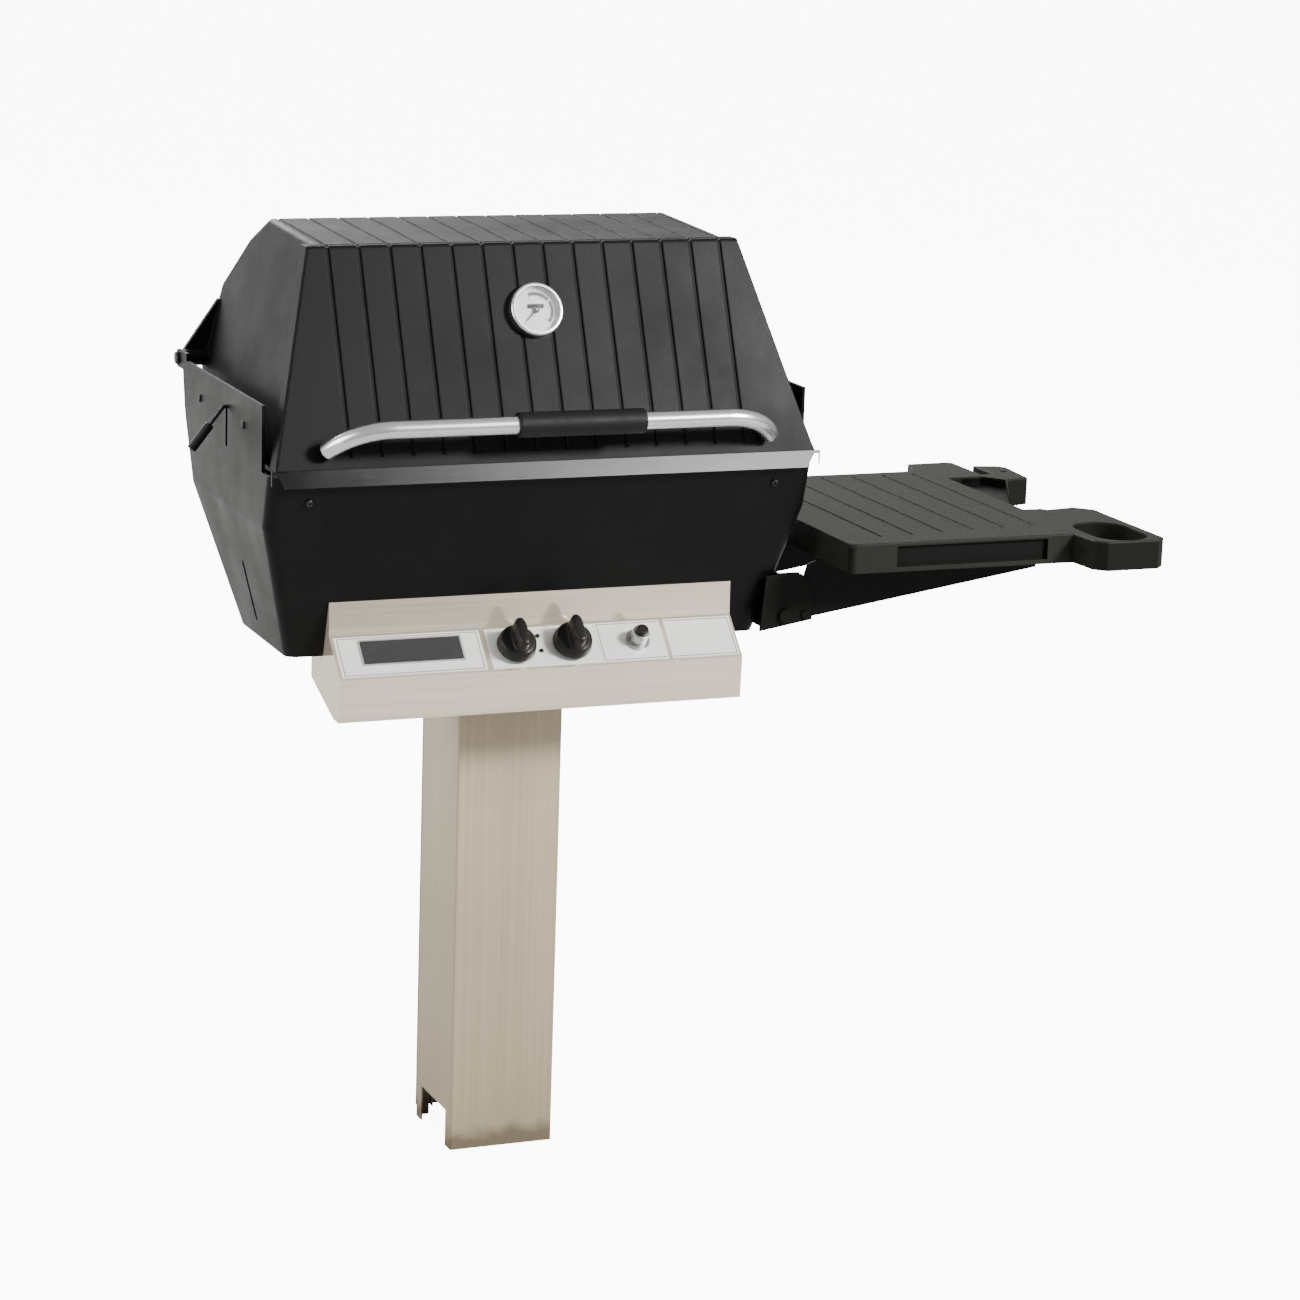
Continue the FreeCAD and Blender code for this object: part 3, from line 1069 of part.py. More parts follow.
# Fire parts: two venturi tubes that stand in the floor, a hollow burner on them, an igniter electrode, a
# rack of ceramic blocks over the burner, and two cooking grids that rest on the upper ledges
add_sizes("Fire", burner_half=232.0, burner_front=-110.0, burner_back=84.0, burner_rise=22.0,
          burner_sheet=1.5, window_low=40.0, window_high=188.0, window_front=-72.0, window_back=44.0,
          burner_foot=12.0, burner_foot_place=214.0, burner_foot_front=-98.0, burner_foot_back=58.0,
          port_radius=1.6, port_pitch=16.0, port_count=12, electrode_place=6.0, electrode_front=-120.0,
          electrode_wire=1.3, electrode_radius=4.5, electrode_low=734.0, electrode_high=771.0, rack_half=328.0, rack_front=-145.0,
          rack_rear=140.0, rack_plate=3.0, rack_edge=8.0, rack_bar=6.0, rack_columns=14, rack_rows=4,
          block_wide=42.0, block_deep=38.0, block_tall=22.0, block_columns=12, block_rows=5,
          block_step_x=53.0, block_step_y=55.0, block_draft=18.0, grid_height=8.0, grid_gap=1.0,
          grid_half=347.0, grid_front=-168.0, grid_rear=178.0, grid_edge=9.0, grid_bar=8.0, grid_count=18,
          clip_tongue=16.0, clip_width=18.0, clip_sheet=2.0)


def venturi(side, place):
    body = new_body("venturi_" + side)
    pad(body, circle(sketch(body, "XY", "venturi_low"), place, "inlet_place", "venturi_radius"),
        "burner_low - venturi_low + 6", 1)
    pad(body, circle(sketch(body, "XY", "floor_height + floor_plate"), place, "inlet_place", "collar_radius"),
        "collar_plate", 1)
    pocket(body, circle(sketch(body, "XY"), place, "inlet_place", "venturi_radius - venturi_wall"))
    windows = sketch(body, "YZ")
    box(windows, "inlet_place - 5", "venturi_low + 22", "inlet_place + 5", "venturi_low + 36")
    pocket(body, windows)
    gather("venturis", body)


def burner():
    def outline(flat, inset):
        box(flat, "-burner_half + " + inset, "burner_front + " + inset, "burner_half - " + inset,
            "burner_back - " + inset)
        for sign in (1, -1):
            ends = ("window_low - " + inset, "window_high + " + inset)
            if sign < 0:
                ends = ("-(%s)" % ends[1], "-(%s)" % ends[0])
            box(flat, ends[0], "window_front - " + inset, ends[1], "window_back + " + inset)
        return flat

    shell = new_body("burner_shell")
    pad(shell, outline(sketch(shell, "XY", "burner_low"), "0"), "burner_rise", 1)
    for x in ("burner_foot_place", "-burner_foot_place"):
        for y in ("burner_foot_front", "burner_foot_back"):
            flat = sketch(shell, "XY", "floor_height + floor_plate")
            box(flat, x + " - burner_foot / 2", y + " - 1.5", x + " + burner_foot / 2", y + " + 1.5")
            pad(shell, flat, "burner_low - floor_height - floor_plate + 1", 1)
    hollow = new_body("burner_hollow")
    pad(hollow, outline(sketch(hollow, "XY", "burner_low + burner_sheet"), "burner_sheet"),
        "burner_rise - burner_sheet * 2", 1)
    flat = sketch(hollow, "XY", "burner_low - 1")
    for place in ("knob_left_place", "knob_right_place"):
        circle(flat, place, "inlet_place", "venturi_radius + 0.1")
    pad(hollow, flat, "burner_rise / 2", 1)
    ports = new_body("burner_ports")
    for sign in (1, -1):
        start = "window_low + 8" if sign > 0 else "-window_high + 8"
        circle_row = sketch(ports, "XZ", "(window_front + window_back) / 2")
        circle(circle_row, start, "burner_low + burner_rise - 6", "port_radius")
        pad(ports, circle_row, "window_back - window_front + 8")
        row_of(ports, "X", "port_pitch * 0.72", "port_count")
    tools = combine("Part::MultiFuse", "burner_tools", hollow, [ports])
    keep(combine("Part::Cut", "burner", shell, tools))


def electrode():
    body = new_body("spark_electrode")
    rod = sketch(body, "XY", "electrode_low")
    pad(body, circle(rod, "electrode_place", "electrode_front", "electrode_radius"),
        "electrode_high - electrode_low", 1)
    wire = sketch(body, "XY", "electrode_high")
    pad(body, circle(wire, "electrode_place", "electrode_front", "electrode_wire"), "11", 1)
    tip = sketch(body, "XZ", "electrode_front")
    pad(body, circle(tip, "electrode_place", "electrode_high + 9", "electrode_wire - 0.3"), "18.8", 1)
    tab = sketch(body, "XY", "burner_low + 4")
    box(tab, "electrode_place - 8", "electrode_front", "electrode_place + 8", "burner_front - 0.05")
    pad(body, tab, "8", 1)
    keep(body)


def briquet_rack():
    body = new_body("briquet_rack")
    plate = sketch(body, "XY", "rock_ledge")
    pad(body, box(plate, "-rack_half", "rack_front", "rack_half", "rack_rear"), "rack_plate", 1)
    step = "((2 * (rack_half - rack_edge) + rack_bar) / rack_columns)"
    climb = "((rack_rear - rack_front - 2 * rack_edge + rack_bar) / rack_rows)"
    flat = sketch(body, "XY", "rock_ledge")
    for k in range(int(value("rack_rows"))):
        low = "rack_front + rack_edge + %d * %s" % (k, climb)
        box(flat, "-rack_half + rack_edge", low, "-rack_half + rack_edge + %s - rack_bar" % step,
            low + " + %s - rack_bar" % climb)
    pocket(body, flat)
    row_of(body, "X", step, "rack_columns")
    keep(body)
    blocks = new_body("ceramic_briquets")
    flat = sketch(blocks, "XY", "rock_ledge + rack_plate")
    for k in range(int(value("block_rows"))):
        middle = "(rack_front + rack_rear) / 2 + (%d - (block_rows - 1) / 2) * block_step_y" % k
        left = "-block_step_x * (block_columns - 1) / 2 - block_wide / 2"
        box(flat, left, middle + " - block_deep / 2", left + " + block_wide", middle + " + block_deep / 2")
    shape = pad(blocks, flat, "block_tall", 1)
    bind(shape, "TaperAngle", "-block_draft")
    doc.recompute()
    row_of(blocks, "X", "block_step_x", "block_columns")
    keep(blocks)


def cooking_grid(side, sign):
    body = new_body("cooking_grid_" + side)
    low, high = "grid_gap", "grid_half"
    ends = (low, high) if sign > 0 else ("-" + high, "-" + low)
    flat = sketch(body, "XY", "grid_ledge")
    pad(body, box(flat, ends[0], "grid_front", ends[1], "grid_rear"), "grid_height", 1)
    step = "((%s - %s - 2 * grid_edge + grid_bar) / grid_count)" % (high, low)
    flat = sketch(body, "XY", "grid_ledge")
    left = "%s + grid_edge" % ends[0]
    middle = "(grid_front + grid_rear) / 2"
    box(flat, left, "grid_front + grid_edge", left + " + %s - grid_bar" % step, middle + " - grid_bar / 2")
    box(flat, left, middle + " + grid_bar / 2", left + " + %s - grid_bar" % step, "grid_rear - grid_edge")
    pocket(body, flat)
    row_of(body, "X", step, "grid_count")
    gather("cooking_grids", body)


def grid_clips():
    legs = tilted_body("grid_clip_legs", ON_BOX_FRONT)
    flat = sketch(legs, "XY", "-box_wall - 0.1")
    tongues = new_body("grid_clip_tongues")
    bars = sketch(tongues, "XY", "grid_ledge + grid_height + 0.3")
    behind = leaning("grid_ledge + grid_height", "box_front_low", "floor_height", "box_front_high", "front_rim")
    for sign in (1, -1):
        outer, inner = "wall_screw_half + clip_width / 2", "wall_screw_half - clip_width * 1.4"
        middle = "wall_screw_half - clip_width * 0.4"
        if sign < 0:
            outer, inner, middle = ("-(%s)" % text for text in (outer, inner, middle))
        low, high = (inner, outer) if sign > 0 else (outer, inner)
        box(flat, low, "wall_screw_up - 5", high, "wall_screw_up + 8")
        low, high = (inner, middle) if sign > 0 else (middle, inner)
        box(bars, low, behind + " + box_wall + 0.3", high, behind + " + box_wall + clip_tongue")
    for across, up in WALL_SCREWS:
        circle(flat, across, up, "small_screw + 0.1")
    pad(legs, flat, "clip_sheet", -1)
    pad(tongues, bars, "clip_sheet", 1)
    keep(combine("Part::MultiFuse", "grid_clips", legs, [tongues]))
    screws("wall_screws", "XY", "0", 1, WALL_SCREWS, "small_head", "3", "small_screw", "box_wall + clip_sheet + 4",
           "1.6", ON_BOX_FRONT, "small_screws")


# Warming rack: wires between two side plates, hung on pins in the lid at the back and on two swinging
# legs at the front, so that it stays level while the lid lifts it; the legs turn on uprights that are
# bolted to the back wall
add_sizes("Rack", rack_pin_front=-70.0, rack_pin_front_height=1070.0, plate_half=278.0, side_plate=3.0,
          rack_wire=2.0, rack_wire_height=1066.0, rack_wire_front=-102.0, rack_wire_step=11.6,
          rack_wire_count=16, leg_inner=284.0, leg_plate=3.0, leg_half=7.5, upright_inner=290.0,
          upright_half=9.0, upright_low=890.0, upright_knee=916.0, upright_flange=18.0)
LEG_BACK = "(hinge_back + rack_pin_front - rack_back)"
LEG_HEIGHT = "(hinge_height + rack_pin_front_height - rack_height)"


def bar_outline(one, two, half):
    """The four corners of a straight bar between two points."""
    start, end = (V(value(point[0]), value(point[1]), 0) for point in (one, two))
    way = (end - start).normalize()
    corners = []
    for point, sign in ((one, 1), (two, 1), (two, -1), (one, -1)):
        corners.append(("%s + (%.6f) * %s" % (point[0], -way.y * sign, half),
                        "%s + (%.6f) * %s" % (point[1], way.x * sign, half)))
    return corners


def warming_rack():
    body = new_body("warming_rack")
    lower = "rack_wire_height - rack_wire - 2"
    for sign in (1, -1):
        flat = sketch(body, "YZ", "%d * plate_half" % sign)
        loop(flat, [("rack_wire_front - 3", lower), ("rack_wire_front + rack_wire_step * (rack_wire_count - 1) + 3",
                                                     lower),
                    ("rack_wire_front + rack_wire_step * (rack_wire_count - 1) + 3", "rack_wire_height + 5"),
                    ("rack_back + 8", "rack_height + 8"), ("rack_back - 8", "rack_height + 8"),
                    ("rack_back - 20", "rack_wire_height + 7"), ("rack_pin_front + 12", "rack_wire_height + 12"),
                    ("rack_pin_front - 8", "rack_wire_height + 12"), ("rack_wire_front - 3", "rack_wire_height + 5")])
        pad(body, flat, "side_plate", -sign)
        pins = sketch(body, "YZ", "%d * (plate_half - 1)" % sign)
        circle(pins, "rack_back", "rack_height", "rack_pin")
        pad(body, pins, "rack_boss_end + 10 - plate_half + 1", sign)
        pins = sketch(body, "YZ", "%d * (plate_half - 1)" % sign)
        circle(pins, "rack_pin_front", "rack_pin_front_height", "rack_pin")
        pad(body, pins, "leg_inner + leg_plate + 1.5 - plate_half + 1", sign)
    wire = circle(sketch(body, "YZ"), "rack_wire_front", "rack_wire_height", "rack_wire")
    pad(body, wire, "plate_half * 2 - 2")
    row_of(body, "Y", "rack_wire_step", "rack_wire_count")
    keep(body)


def rack_legs():
    ends = [(LEG_BACK, LEG_HEIGHT), ("rack_pin_front", "rack_pin_front_height")]
    for side, sign in (("left", -1), ("right", 1)):
        body = new_body("rack_leg_" + side)
        flat = loop(sketch(body, "YZ", "%d * leg_inner" % sign), bar_outline(ends[0], ends[1], "leg_half"))
        pad(body, flat, "leg_plate", sign)
        for across, up in ends:
            flat = circle(sketch(body, "YZ", "%d * leg_inner" % sign), across, up, "leg_half")
            pad(body, flat, "leg_plate", sign)
        holes = sketch(body, "YZ")
        for across, up in ends:
            circle(holes, across, up, "rack_pin + running_gap")
        pocket(body, holes)
        gather("rack_legs", body)


def rack_uprights():
    body = new_body("rack_uprights")
    for sign in (1, -1):
        def back_wall(height, off):
            line = leaning(height, "box_back_knee", "knee_height", "box_back_top", "cheek_top")
            return "%s - box_wall - %s" % (line, off)
        flat = sketch(body, "YZ", "%d * upright_inner" % sign)
        loop(flat, [(LEG_BACK + " - upright_half", "upright_low"), (back_wall("upright_low", "1"), "upright_low"),
                    (back_wall("upright_knee", "1"), "upright_knee"), (LEG_BACK + " + upright_half", "upright_knee"),
                    (LEG_BACK + " + upright_half", LEG_HEIGHT + " + upright_half"),
                    (LEG_BACK + " - upright_half", LEG_HEIGHT + " + upright_half")])
        pad(body, flat, "side_plate", sign)
        flat = sketch(body, "YZ", "%d * upright_inner" % sign)
        loop(flat, [(back_wall("upright_low", "3.1"), "upright_low"), (back_wall("upright_low", "0.1"), "upright_low"),
                    (back_wall("upright_knee", "0.1"), "upright_knee"), (back_wall("upright_knee", "3.1"),
                                                                      "upright_knee")])
        pad(body, flat, "upright_flange + side_plate", sign)
        pin = circle(sketch(body, "YZ", "%d * (upright_inner + 1)" % sign), LEG_BACK, LEG_HEIGHT, "rack_pin")
        pad(body, pin, "upright_inner - leg_inner + 2.5", -sign)
    holes = tilted_body("upright_holes", ON_BOX_BACK)
    flat = sketch(holes, "XY")
    for across, up in RACK_BOLTS:
        circle(flat, across, up, "rack_bolt + 0.1")
    pad(holes, flat, "30")
    body.Label = "rack_upright_plates"
    keep(combine("Part::Cut", "rack_uprights", body, holes))
    screws("rack_bolts", "XY", "0", 1, RACK_BOLTS, "5.5", "3.5", "rack_bolt", "box_wall + side_plate + 6", "2",
           ON_BOX_BACK)


# Grease tray: a drawn cup that slides on two rails under the drain
add_sizes("Grease", rail_inner=34.0, rail_sheet=1.5, rail_flange=14.0, rail_drop=15.0, rail_foot=6.0,
          rail_run=44.0, cup_rim=33.0, cup_half=26.0, cup_run=42.0, cup_depth=28.0, cup_sheet=1.2)


def grease_tray():
    rails = new_body("grease_rails")
    seat = "floor_height - rail_drop"
    for sign in (1, -1):
        shape = [("rail_inner + rail_flange", "floor_height"), ("rail_inner", "floor_height"), ("rail_inner", seat),
                 ("rail_inner - rail_foot", seat), ("rail_inner - rail_foot", seat + " - rail_sheet"),
                 ("rail_inner + rail_sheet", seat + " - rail_sheet"),
                 ("rail_inner + rail_sheet", "floor_height - rail_sheet"),
                 ("rail_inner + rail_flange", "floor_height - rail_sheet")]
        flat = sketch(rails, "XZ", "drain_back")
        loop(flat, [("drain_place + %d * (%s)" % (sign, across), up) for across, up in shape])
        pad(rails, flat, "rail_run * 2")
        stop = sketch(rails, "XZ", "drain_back - rail_run")
        ends = ("drain_place + %d * (rail_inner - rail_foot)" % sign, "drain_place + %d * (rail_inner + 0.5)" % sign)
        box(stop, ends[0] if sign > 0 else ends[1], seat + " - 0.5", ends[1] if sign > 0 else ends[0], seat + " + 6")
        pad(rails, stop, "rail_sheet", 1)
    holes = sketch(rails, "XY")
    for across, up in RAIL_SCREWS:
        circle(holes, across, up, "small_screw + 0.2")
    pocket(rails, holes)
    keep(rails)
    screws("rail_screws", "XY", "floor_height - rail_sheet", -1, RAIL_SCREWS, "small_head", "3", "small_screw",
           "rail_sheet + floor_plate + 3", "1.6", group="small_screws")
    cup = new_body("grease_cup")
    rim = sketch(cup, "XY", seat + " + 0.1")
    box(rim, "drain_place - cup_rim", "drain_back - cup_run", "drain_place + cup_rim", "drain_back + cup_run")
    pad(cup, rim, "cup_sheet", 1)
    wall = sketch(cup, "XY", seat + " + 0.1")
    box(wall, "drain_place - cup_half", "drain_back - cup_run + 6", "drain_place + cup_half",
        "drain_back + cup_run - 6")
    pad(cup, wall, "cup_depth", -1)
    soften(cup, lambda e: runs_along(e, AXIS["XY"]) and e.Length > value("cup_depth") - 1, "8")
    hollow = sketch(cup, "XY", seat + " + 0.1 + cup_sheet")
    box(hollow, "drain_place - cup_half + cup_sheet", "drain_back - cup_run + 6 + cup_sheet",
        "drain_place + cup_half - cup_sheet", "drain_back + cup_run - 6 - cup_sheet")
    pocket(cup, hollow, "cup_depth", -1)
    keep(cup)


# Side vent: a plate that slides up and down inside the left cheek between two riveted guides, moved by
# a bent wire with a plastic grip that comes out through the upright slot
add_sizes("Shutter", plate_out=349.7, plate_thick=2.0, plate_front=-60.0, plate_back=116.0, plate_low=940.0,
          plate_top=992.0, plate_lip=9.0, guide_inner=346.0, guide_wide=19.0, guide_lap=4.0, guide_low=902.0,
          guide_high=998.0, guide_slack=1.0, guide_clear=0.2, lever_wire=2.5, lever_height=976.0,
          lever_out=360.0, lever_run=40.0, lever_fall=51.0, lever_head=5.0, lever_grip=6.0,
          lever_grip_start=27.0, lever_grip_length=39.0, rivet_head=5.0, rivet_head_height=2.4)
ON_LEVER = (("-lever_out", "spit_slot_place", "lever_height"), "180 deg + atan(lever_run / lever_fall)", "XZ")


def shutter():
    plate = new_body("shutter_plate")
    flat = sketch(plate, "YZ", "-plate_out")
    box(flat, "plate_front", "plate_low", "plate_back", "plate_top")
    circle(flat, "spit_slot_place", "lever_height", "lever_wire + 0.05")
    pad(plate, flat, "plate_thick", 1)
    lip = sketch(plate, "YZ", "-plate_out")
    box(lip, "plate_front + 8", "plate_low", "plate_back - 8", "plate_low + plate_thick")
    pad(plate, lip, "plate_thick + plate_lip", 1)
    keep(plate)
    guides = new_body("shutter_guides")
    for edge, way in (("plate_front", -1), ("plate_back", 1)):
        def at(text):
            return "%s + %d * (%s)" % (edge, way, text)
        wall, inner = "-cheek_half + box_wall", "-guide_inner"
        slide_in, slide_out = "-plate_out + plate_thick + guide_clear", "-plate_out - guide_clear"
        flat = sketch(guides, "XY", "guide_low")
        loop(flat, [(wall, at("guide_slack + guide_wide")), (inner, at("guide_slack + guide_wide")),
                    (inner, at("-guide_lap")), (slide_in, at("-guide_lap")), (slide_in, at("guide_slack")),
                    (slide_out, at("guide_slack")), (slide_out, at("-guide_lap")), (wall, at("-guide_lap"))])
        pad(guides, flat, "guide_high - guide_low", 1)
    holes = sketch(guides, "YZ")
    for across, up in SHUTTER_RIVETS:
        circle(holes, across, up, "rivet_shank + 0.05")
    pocket(guides, holes)
    keep(guides)
    rivets = new_body("shutter_rivets")
    heads = sketch(rivets, "YZ", "-cheek_half")
    shanks = sketch(rivets, "YZ", "-cheek_half")
    for across, up in SHUTTER_RIVETS:
        circle(heads, across, up, "rivet_head")
        circle(shanks, across, up, "rivet_shank")
    pad(rivets, heads, "rivet_head_height", -1)
    soften(rivets, lambda e: near(e.CenterOfMass.x, value("-cheek_half - rivet_head_height")), "1.8")
    pad(rivets, shanks, "cheek_half - guide_inner", 1)
    keep(rivets)
    inside = new_body("lever_root")
    pad(inside, circle(sketch(inside, "YZ", "-plate_out + plate_thick"), "spit_slot_place", "lever_height",
                       "lever_head"), "2", 1)
    pad(inside, circle(sketch(inside, "YZ", "-plate_out + plate_thick"), "spit_slot_place", "lever_height",
                       "lever_wire"), "lever_out - plate_out + plate_thick", -1)
    outside = tilted_body("lever_arm", ON_LEVER)
    pad(outside, circle(sketch(outside, "XY"), "0", "0", "lever_wire"), "lever_grip_start + lever_grip_length - 4", 1)
    knee = doc.addObject("Part::Sphere", "lever_knee")
    bind(knee, "Radius", "lever_wire")
    for letter, text in zip("xyz", ON_LEVER[0]):
        bind(knee, "Placement.Base." + letter, text)
    keep(combine("Part::MultiFuse", "shutter_lever", inside, [outside, knee]))
    grip = tilted_body("shutter_grip", ON_LEVER)
    pad(grip, circle(sketch(grip, "XY", "lever_grip_start"), "0", "0", "lever_grip"), "lever_grip_length", 1)
    soften(grip, lambda e: True, "2")
    pocket(grip, circle(sketch(grip, "XY", "lever_grip_start"), "0", "0", "lever_wire + 0.02"),
           "lever_grip_length - 4", 1)
    keep(grip)


burner()
for side in ("left", "right"):
    venturi(side, "knob_%s_place" % side)
electrode()
briquet_rack()
cooking_grid("left", -1)
cooking_grid("right", 1)
grid_clips()
warming_rack()
rack_legs()
rack_uprights()
grease_tray()
shutter()

# Side shelf: a moulded board with a skirt, grooves, a cup ring and a tool notch, screwed to two steel
# arms that turn on bolts between the ears of two brackets on the right side of the firebox; a pin that
# runs in an arc slot stops each arm level or hanging straight down
add_sizes("Shelf", shelf_top=816.0, shelf_skirt=38.0, shelf_wall=3.2, shelf_inner=388.0, shelf_front=-238.0,
          shelf_back=207.0, shelf_outer=736.0, raised_outer=712.0, ledge_drop=12.0, ledge_front=-78.0,
          ledge_back=150.0, ring_left=707.0, ring_right=808.0, ring_front=-298.0, ring_back=-80.0,
          ring_hole_x=757.0, ring_hole_y=-234.0, ring_hole_wide=74.0, ring_hole_long=120.0, ring_wall=3.0,
          recess_left=452.0, recess_right=666.0, recess_low=784.0, recess_high=811.0, recess_depth=6.0,
          shelf_groove_left=447.0, shelf_groove_step=46.0, shelf_groove_count=6, shelf_groove_front=-200.0,
          shelf_groove_back=188.0, shelf_groove_width=5.0, shelf_groove_depth=1.2, notch_left=772.0,
          notch_right=790.0, notch_front=165.0, tab_right=832.0, tab_front=130.0, tab_back=218.0,
          lobe_back=260.0, lobe_left=700.0, flare_front=8.0, flare_back=120.0, hook_hole=5.0,
          boss_radius=7.0, pivot_out=340.0, pivot_height=708.0, pivot_bolt=5.0, pivot_head=9.0,
          arm_plate=4.0, arm_front=-144.0, arm_rear=83.5, arm_top=800.0, arm_end=700.0, arm_inner=395.0,
          arm_flange=18.0, arm_low_inner=696.5, arm_low_outer=753.0, arc_radius=28.0, stop_pin=3.0,
          arc_width=6.4, ear_plate=3.5, ear_gap=1.5, ear_low=689.0, ear_high=761.0, ear_right=378.0,
          ear_left=306.0, bracket_base=4.0, bracket_low=691.0, bracket_run=90.0, shelf_screw_first=430.0,
          shelf_screw_step=120.0, shelf_screw_rise=11.0)
LEDGES = ([("raised_outer", "ledge_front"), ("shelf_outer + 1", "ledge_front"), ("shelf_outer + 1", "flare_front"),
           ("raised_outer", "flare_front")],
          [("raised_outer", "flare_front - 1"), ("shelf_outer", "flare_front - 1"), ("notch_right - 3", "flare_back"),
           ("notch_right - 26", "ledge_back"), ("raised_outer", "ledge_back")])
ARMS = {"front": "arm_front", "rear": "arm_rear"}
BOARD = [("shelf_inner", "shelf_front"), ("ring_left - 4", "shelf_front"), ("ring_left", "ring_front + 14"),
         ("ring_left + 14", "ring_front"), ("ring_right - 14", "ring_front"), ("ring_right", "ring_front + 14"),
         ("ring_right", "ring_back - 18"), ("ring_right - 22", "ring_back + 3"), ("shelf_outer + 8", "ring_back - 4"),
         ("shelf_outer", "ring_back + 8"), ("shelf_outer", "flare_front"), ("notch_right", "flare_back"),
         ("tab_right - 6", "tab_front"), ("tab_right", "tab_back - 12"), ("tab_right - 10", "tab_back"),
         ("notch_right", "tab_back + 8"), ("notch_right", "notch_front"), ("notch_left", "notch_front"),
         ("notch_left", "lobe_back - 6"), ("notch_left - 8", "lobe_back"), ("lobe_left + 4", "lobe_back - 2"),
         ("lobe_left - 14", "shelf_back + 1"), ("shelf_inner", "shelf_back")]


def inset_outline(points, thick):
    """A closed outline, listed anticlockwise, drawn in by an even thickness."""
    line = [V(value(across), value(up), 0) for across, up in points]
    inner = []
    for i, point in enumerate(line):
        ways = [(point - line[i - 1]).normalize(), (line[(i + 1) % len(line)] - point).normalize()]
        total = V(-ways[0].y - ways[1].y, ways[0].x + ways[1].x, 0)
        shift = total * (2 / total.dot(total))
        inner.append(("%s + (%.6f) * %s" % (points[i][0], shift.x, thick),
                      "%s + (%.6f) * %s" % (points[i][1], shift.y, thick)))
    return inner


def arm_screws(side):
    """Where the board is screwed to an arm, along the middle of its flange."""
    middle = "%s + arm_plate / 2 + arm_flange / 2" % ARMS[side]
    return [("shelf_screw_first + %d * shelf_screw_step" % k, middle) for k in range(3)]


def shelf_board():
    body = new_body("shelf_board")
    top = "shelf_top"
    pad(body, loop(sketch(body, "XY", top), BOARD), "shelf_skirt", -1)
    soften(body, lambda e: runs_along(e, AXIS["XY"]) and e.CenterOfMass.x < value("shelf_inner + 1"), "9")
    soften(body, lambda e: near(e.CenterOfMass.z, value(top)), "2.2")
    inside = sketch(body, "XY", "shelf_top - shelf_skirt")
    pocket(body, loop(inside, inset_outline(BOARD, "shelf_wall")), "shelf_skirt - shelf_wall", 1)
    for corners in LEDGES:
        flat = sketch(body, "XY", "shelf_top - ledge_drop")
        pad(body, loop(flat, corners), "shelf_wall", -1)
    riser = sketch(body, "XY", "shelf_top - ledge_drop - shelf_wall")
    box(riser, "raised_outer - shelf_wall", "ledge_front - shelf_wall", "raised_outer", "ledge_back + shelf_wall")
    pad(body, riser, "ledge_drop + shelf_wall / 2", 1)
    for low, high in (("ledge_front - shelf_wall", "ledge_front"), ("ledge_back", "ledge_back + shelf_wall")):
        riser = sketch(body, "XY", "shelf_top - ledge_drop - shelf_wall")
        box(riser, "raised_outer - shelf_wall", low, "shelf_outer - 1", high)
        pad(body, riser, "ledge_drop + shelf_wall / 2", 1)
    for corners in LEDGES:
        flat = sketch(body, "XY", "shelf_top")
        pocket(body, loop(flat, corners), "ledge_drop", -1)
    backing = sketch(body, "XZ", "shelf_front + shelf_wall / 2")
    box(backing, "recess_left - shelf_wall", "recess_low - shelf_wall", "recess_right + shelf_wall",
        "recess_high + shelf_wall / 2")
    pad(body, backing, "recess_depth + shelf_wall / 2", 1)
    recess = sketch(body, "XZ", "shelf_front")
    box(recess, "recess_left", "recess_low", "recess_right", "recess_high")
    pocket(body, recess, "recess_depth", 1)
    ring = sketch(body, "XY", top + " - 1")
    slot(ring, "ring_hole_x", "ring_hole_y", "ring_hole_long + ring_wall * 2", "ring_hole_wide + ring_wall * 2",
         True)
    pad(body, ring, "shelf_skirt - 1", -1)
    hole = sketch(body, "XY", top)
    slot(hole, "ring_hole_x", "ring_hole_y", "ring_hole_long", "ring_hole_wide", True)
    for across, up in (("ring_hole_x - 27", "90"), ("ring_hole_x - 32", "30"), ("tab_right - 20", "tab_front + 45")):
        circle(hole, across, up, "hook_hole")
    pocket(body, hole)
    bosses = sketch(body, "XY", "arm_top")
    for side in ARMS:
        for across, up in arm_screws(side):
            circle(bosses, across, up, "boss_radius")
    pad(body, bosses, "shelf_top - shelf_wall - arm_top + 0.5", 1)
    pilots = sketch(body, "XY", "arm_top")
    for side in ARMS:
        for across, up in arm_screws(side):
            circle(pilots, across, up, "small_screw + 0.03")
    pocket(body, pilots, "shelf_screw_rise + 1", 1)
    lines = sketch(body, "XY", top)
    for k in range(int(value("shelf_groove_count"))):
        middle = "shelf_groove_left + %d * shelf_groove_step" % k
        box(lines, middle + " - shelf_groove_width / 2", "shelf_groove_front + %d * 5" % k,
            middle + " + shelf_groove_width / 2", "shelf_groove_back")
    pocket(body, lines, "shelf_groove_depth", -1)
    keep(body)


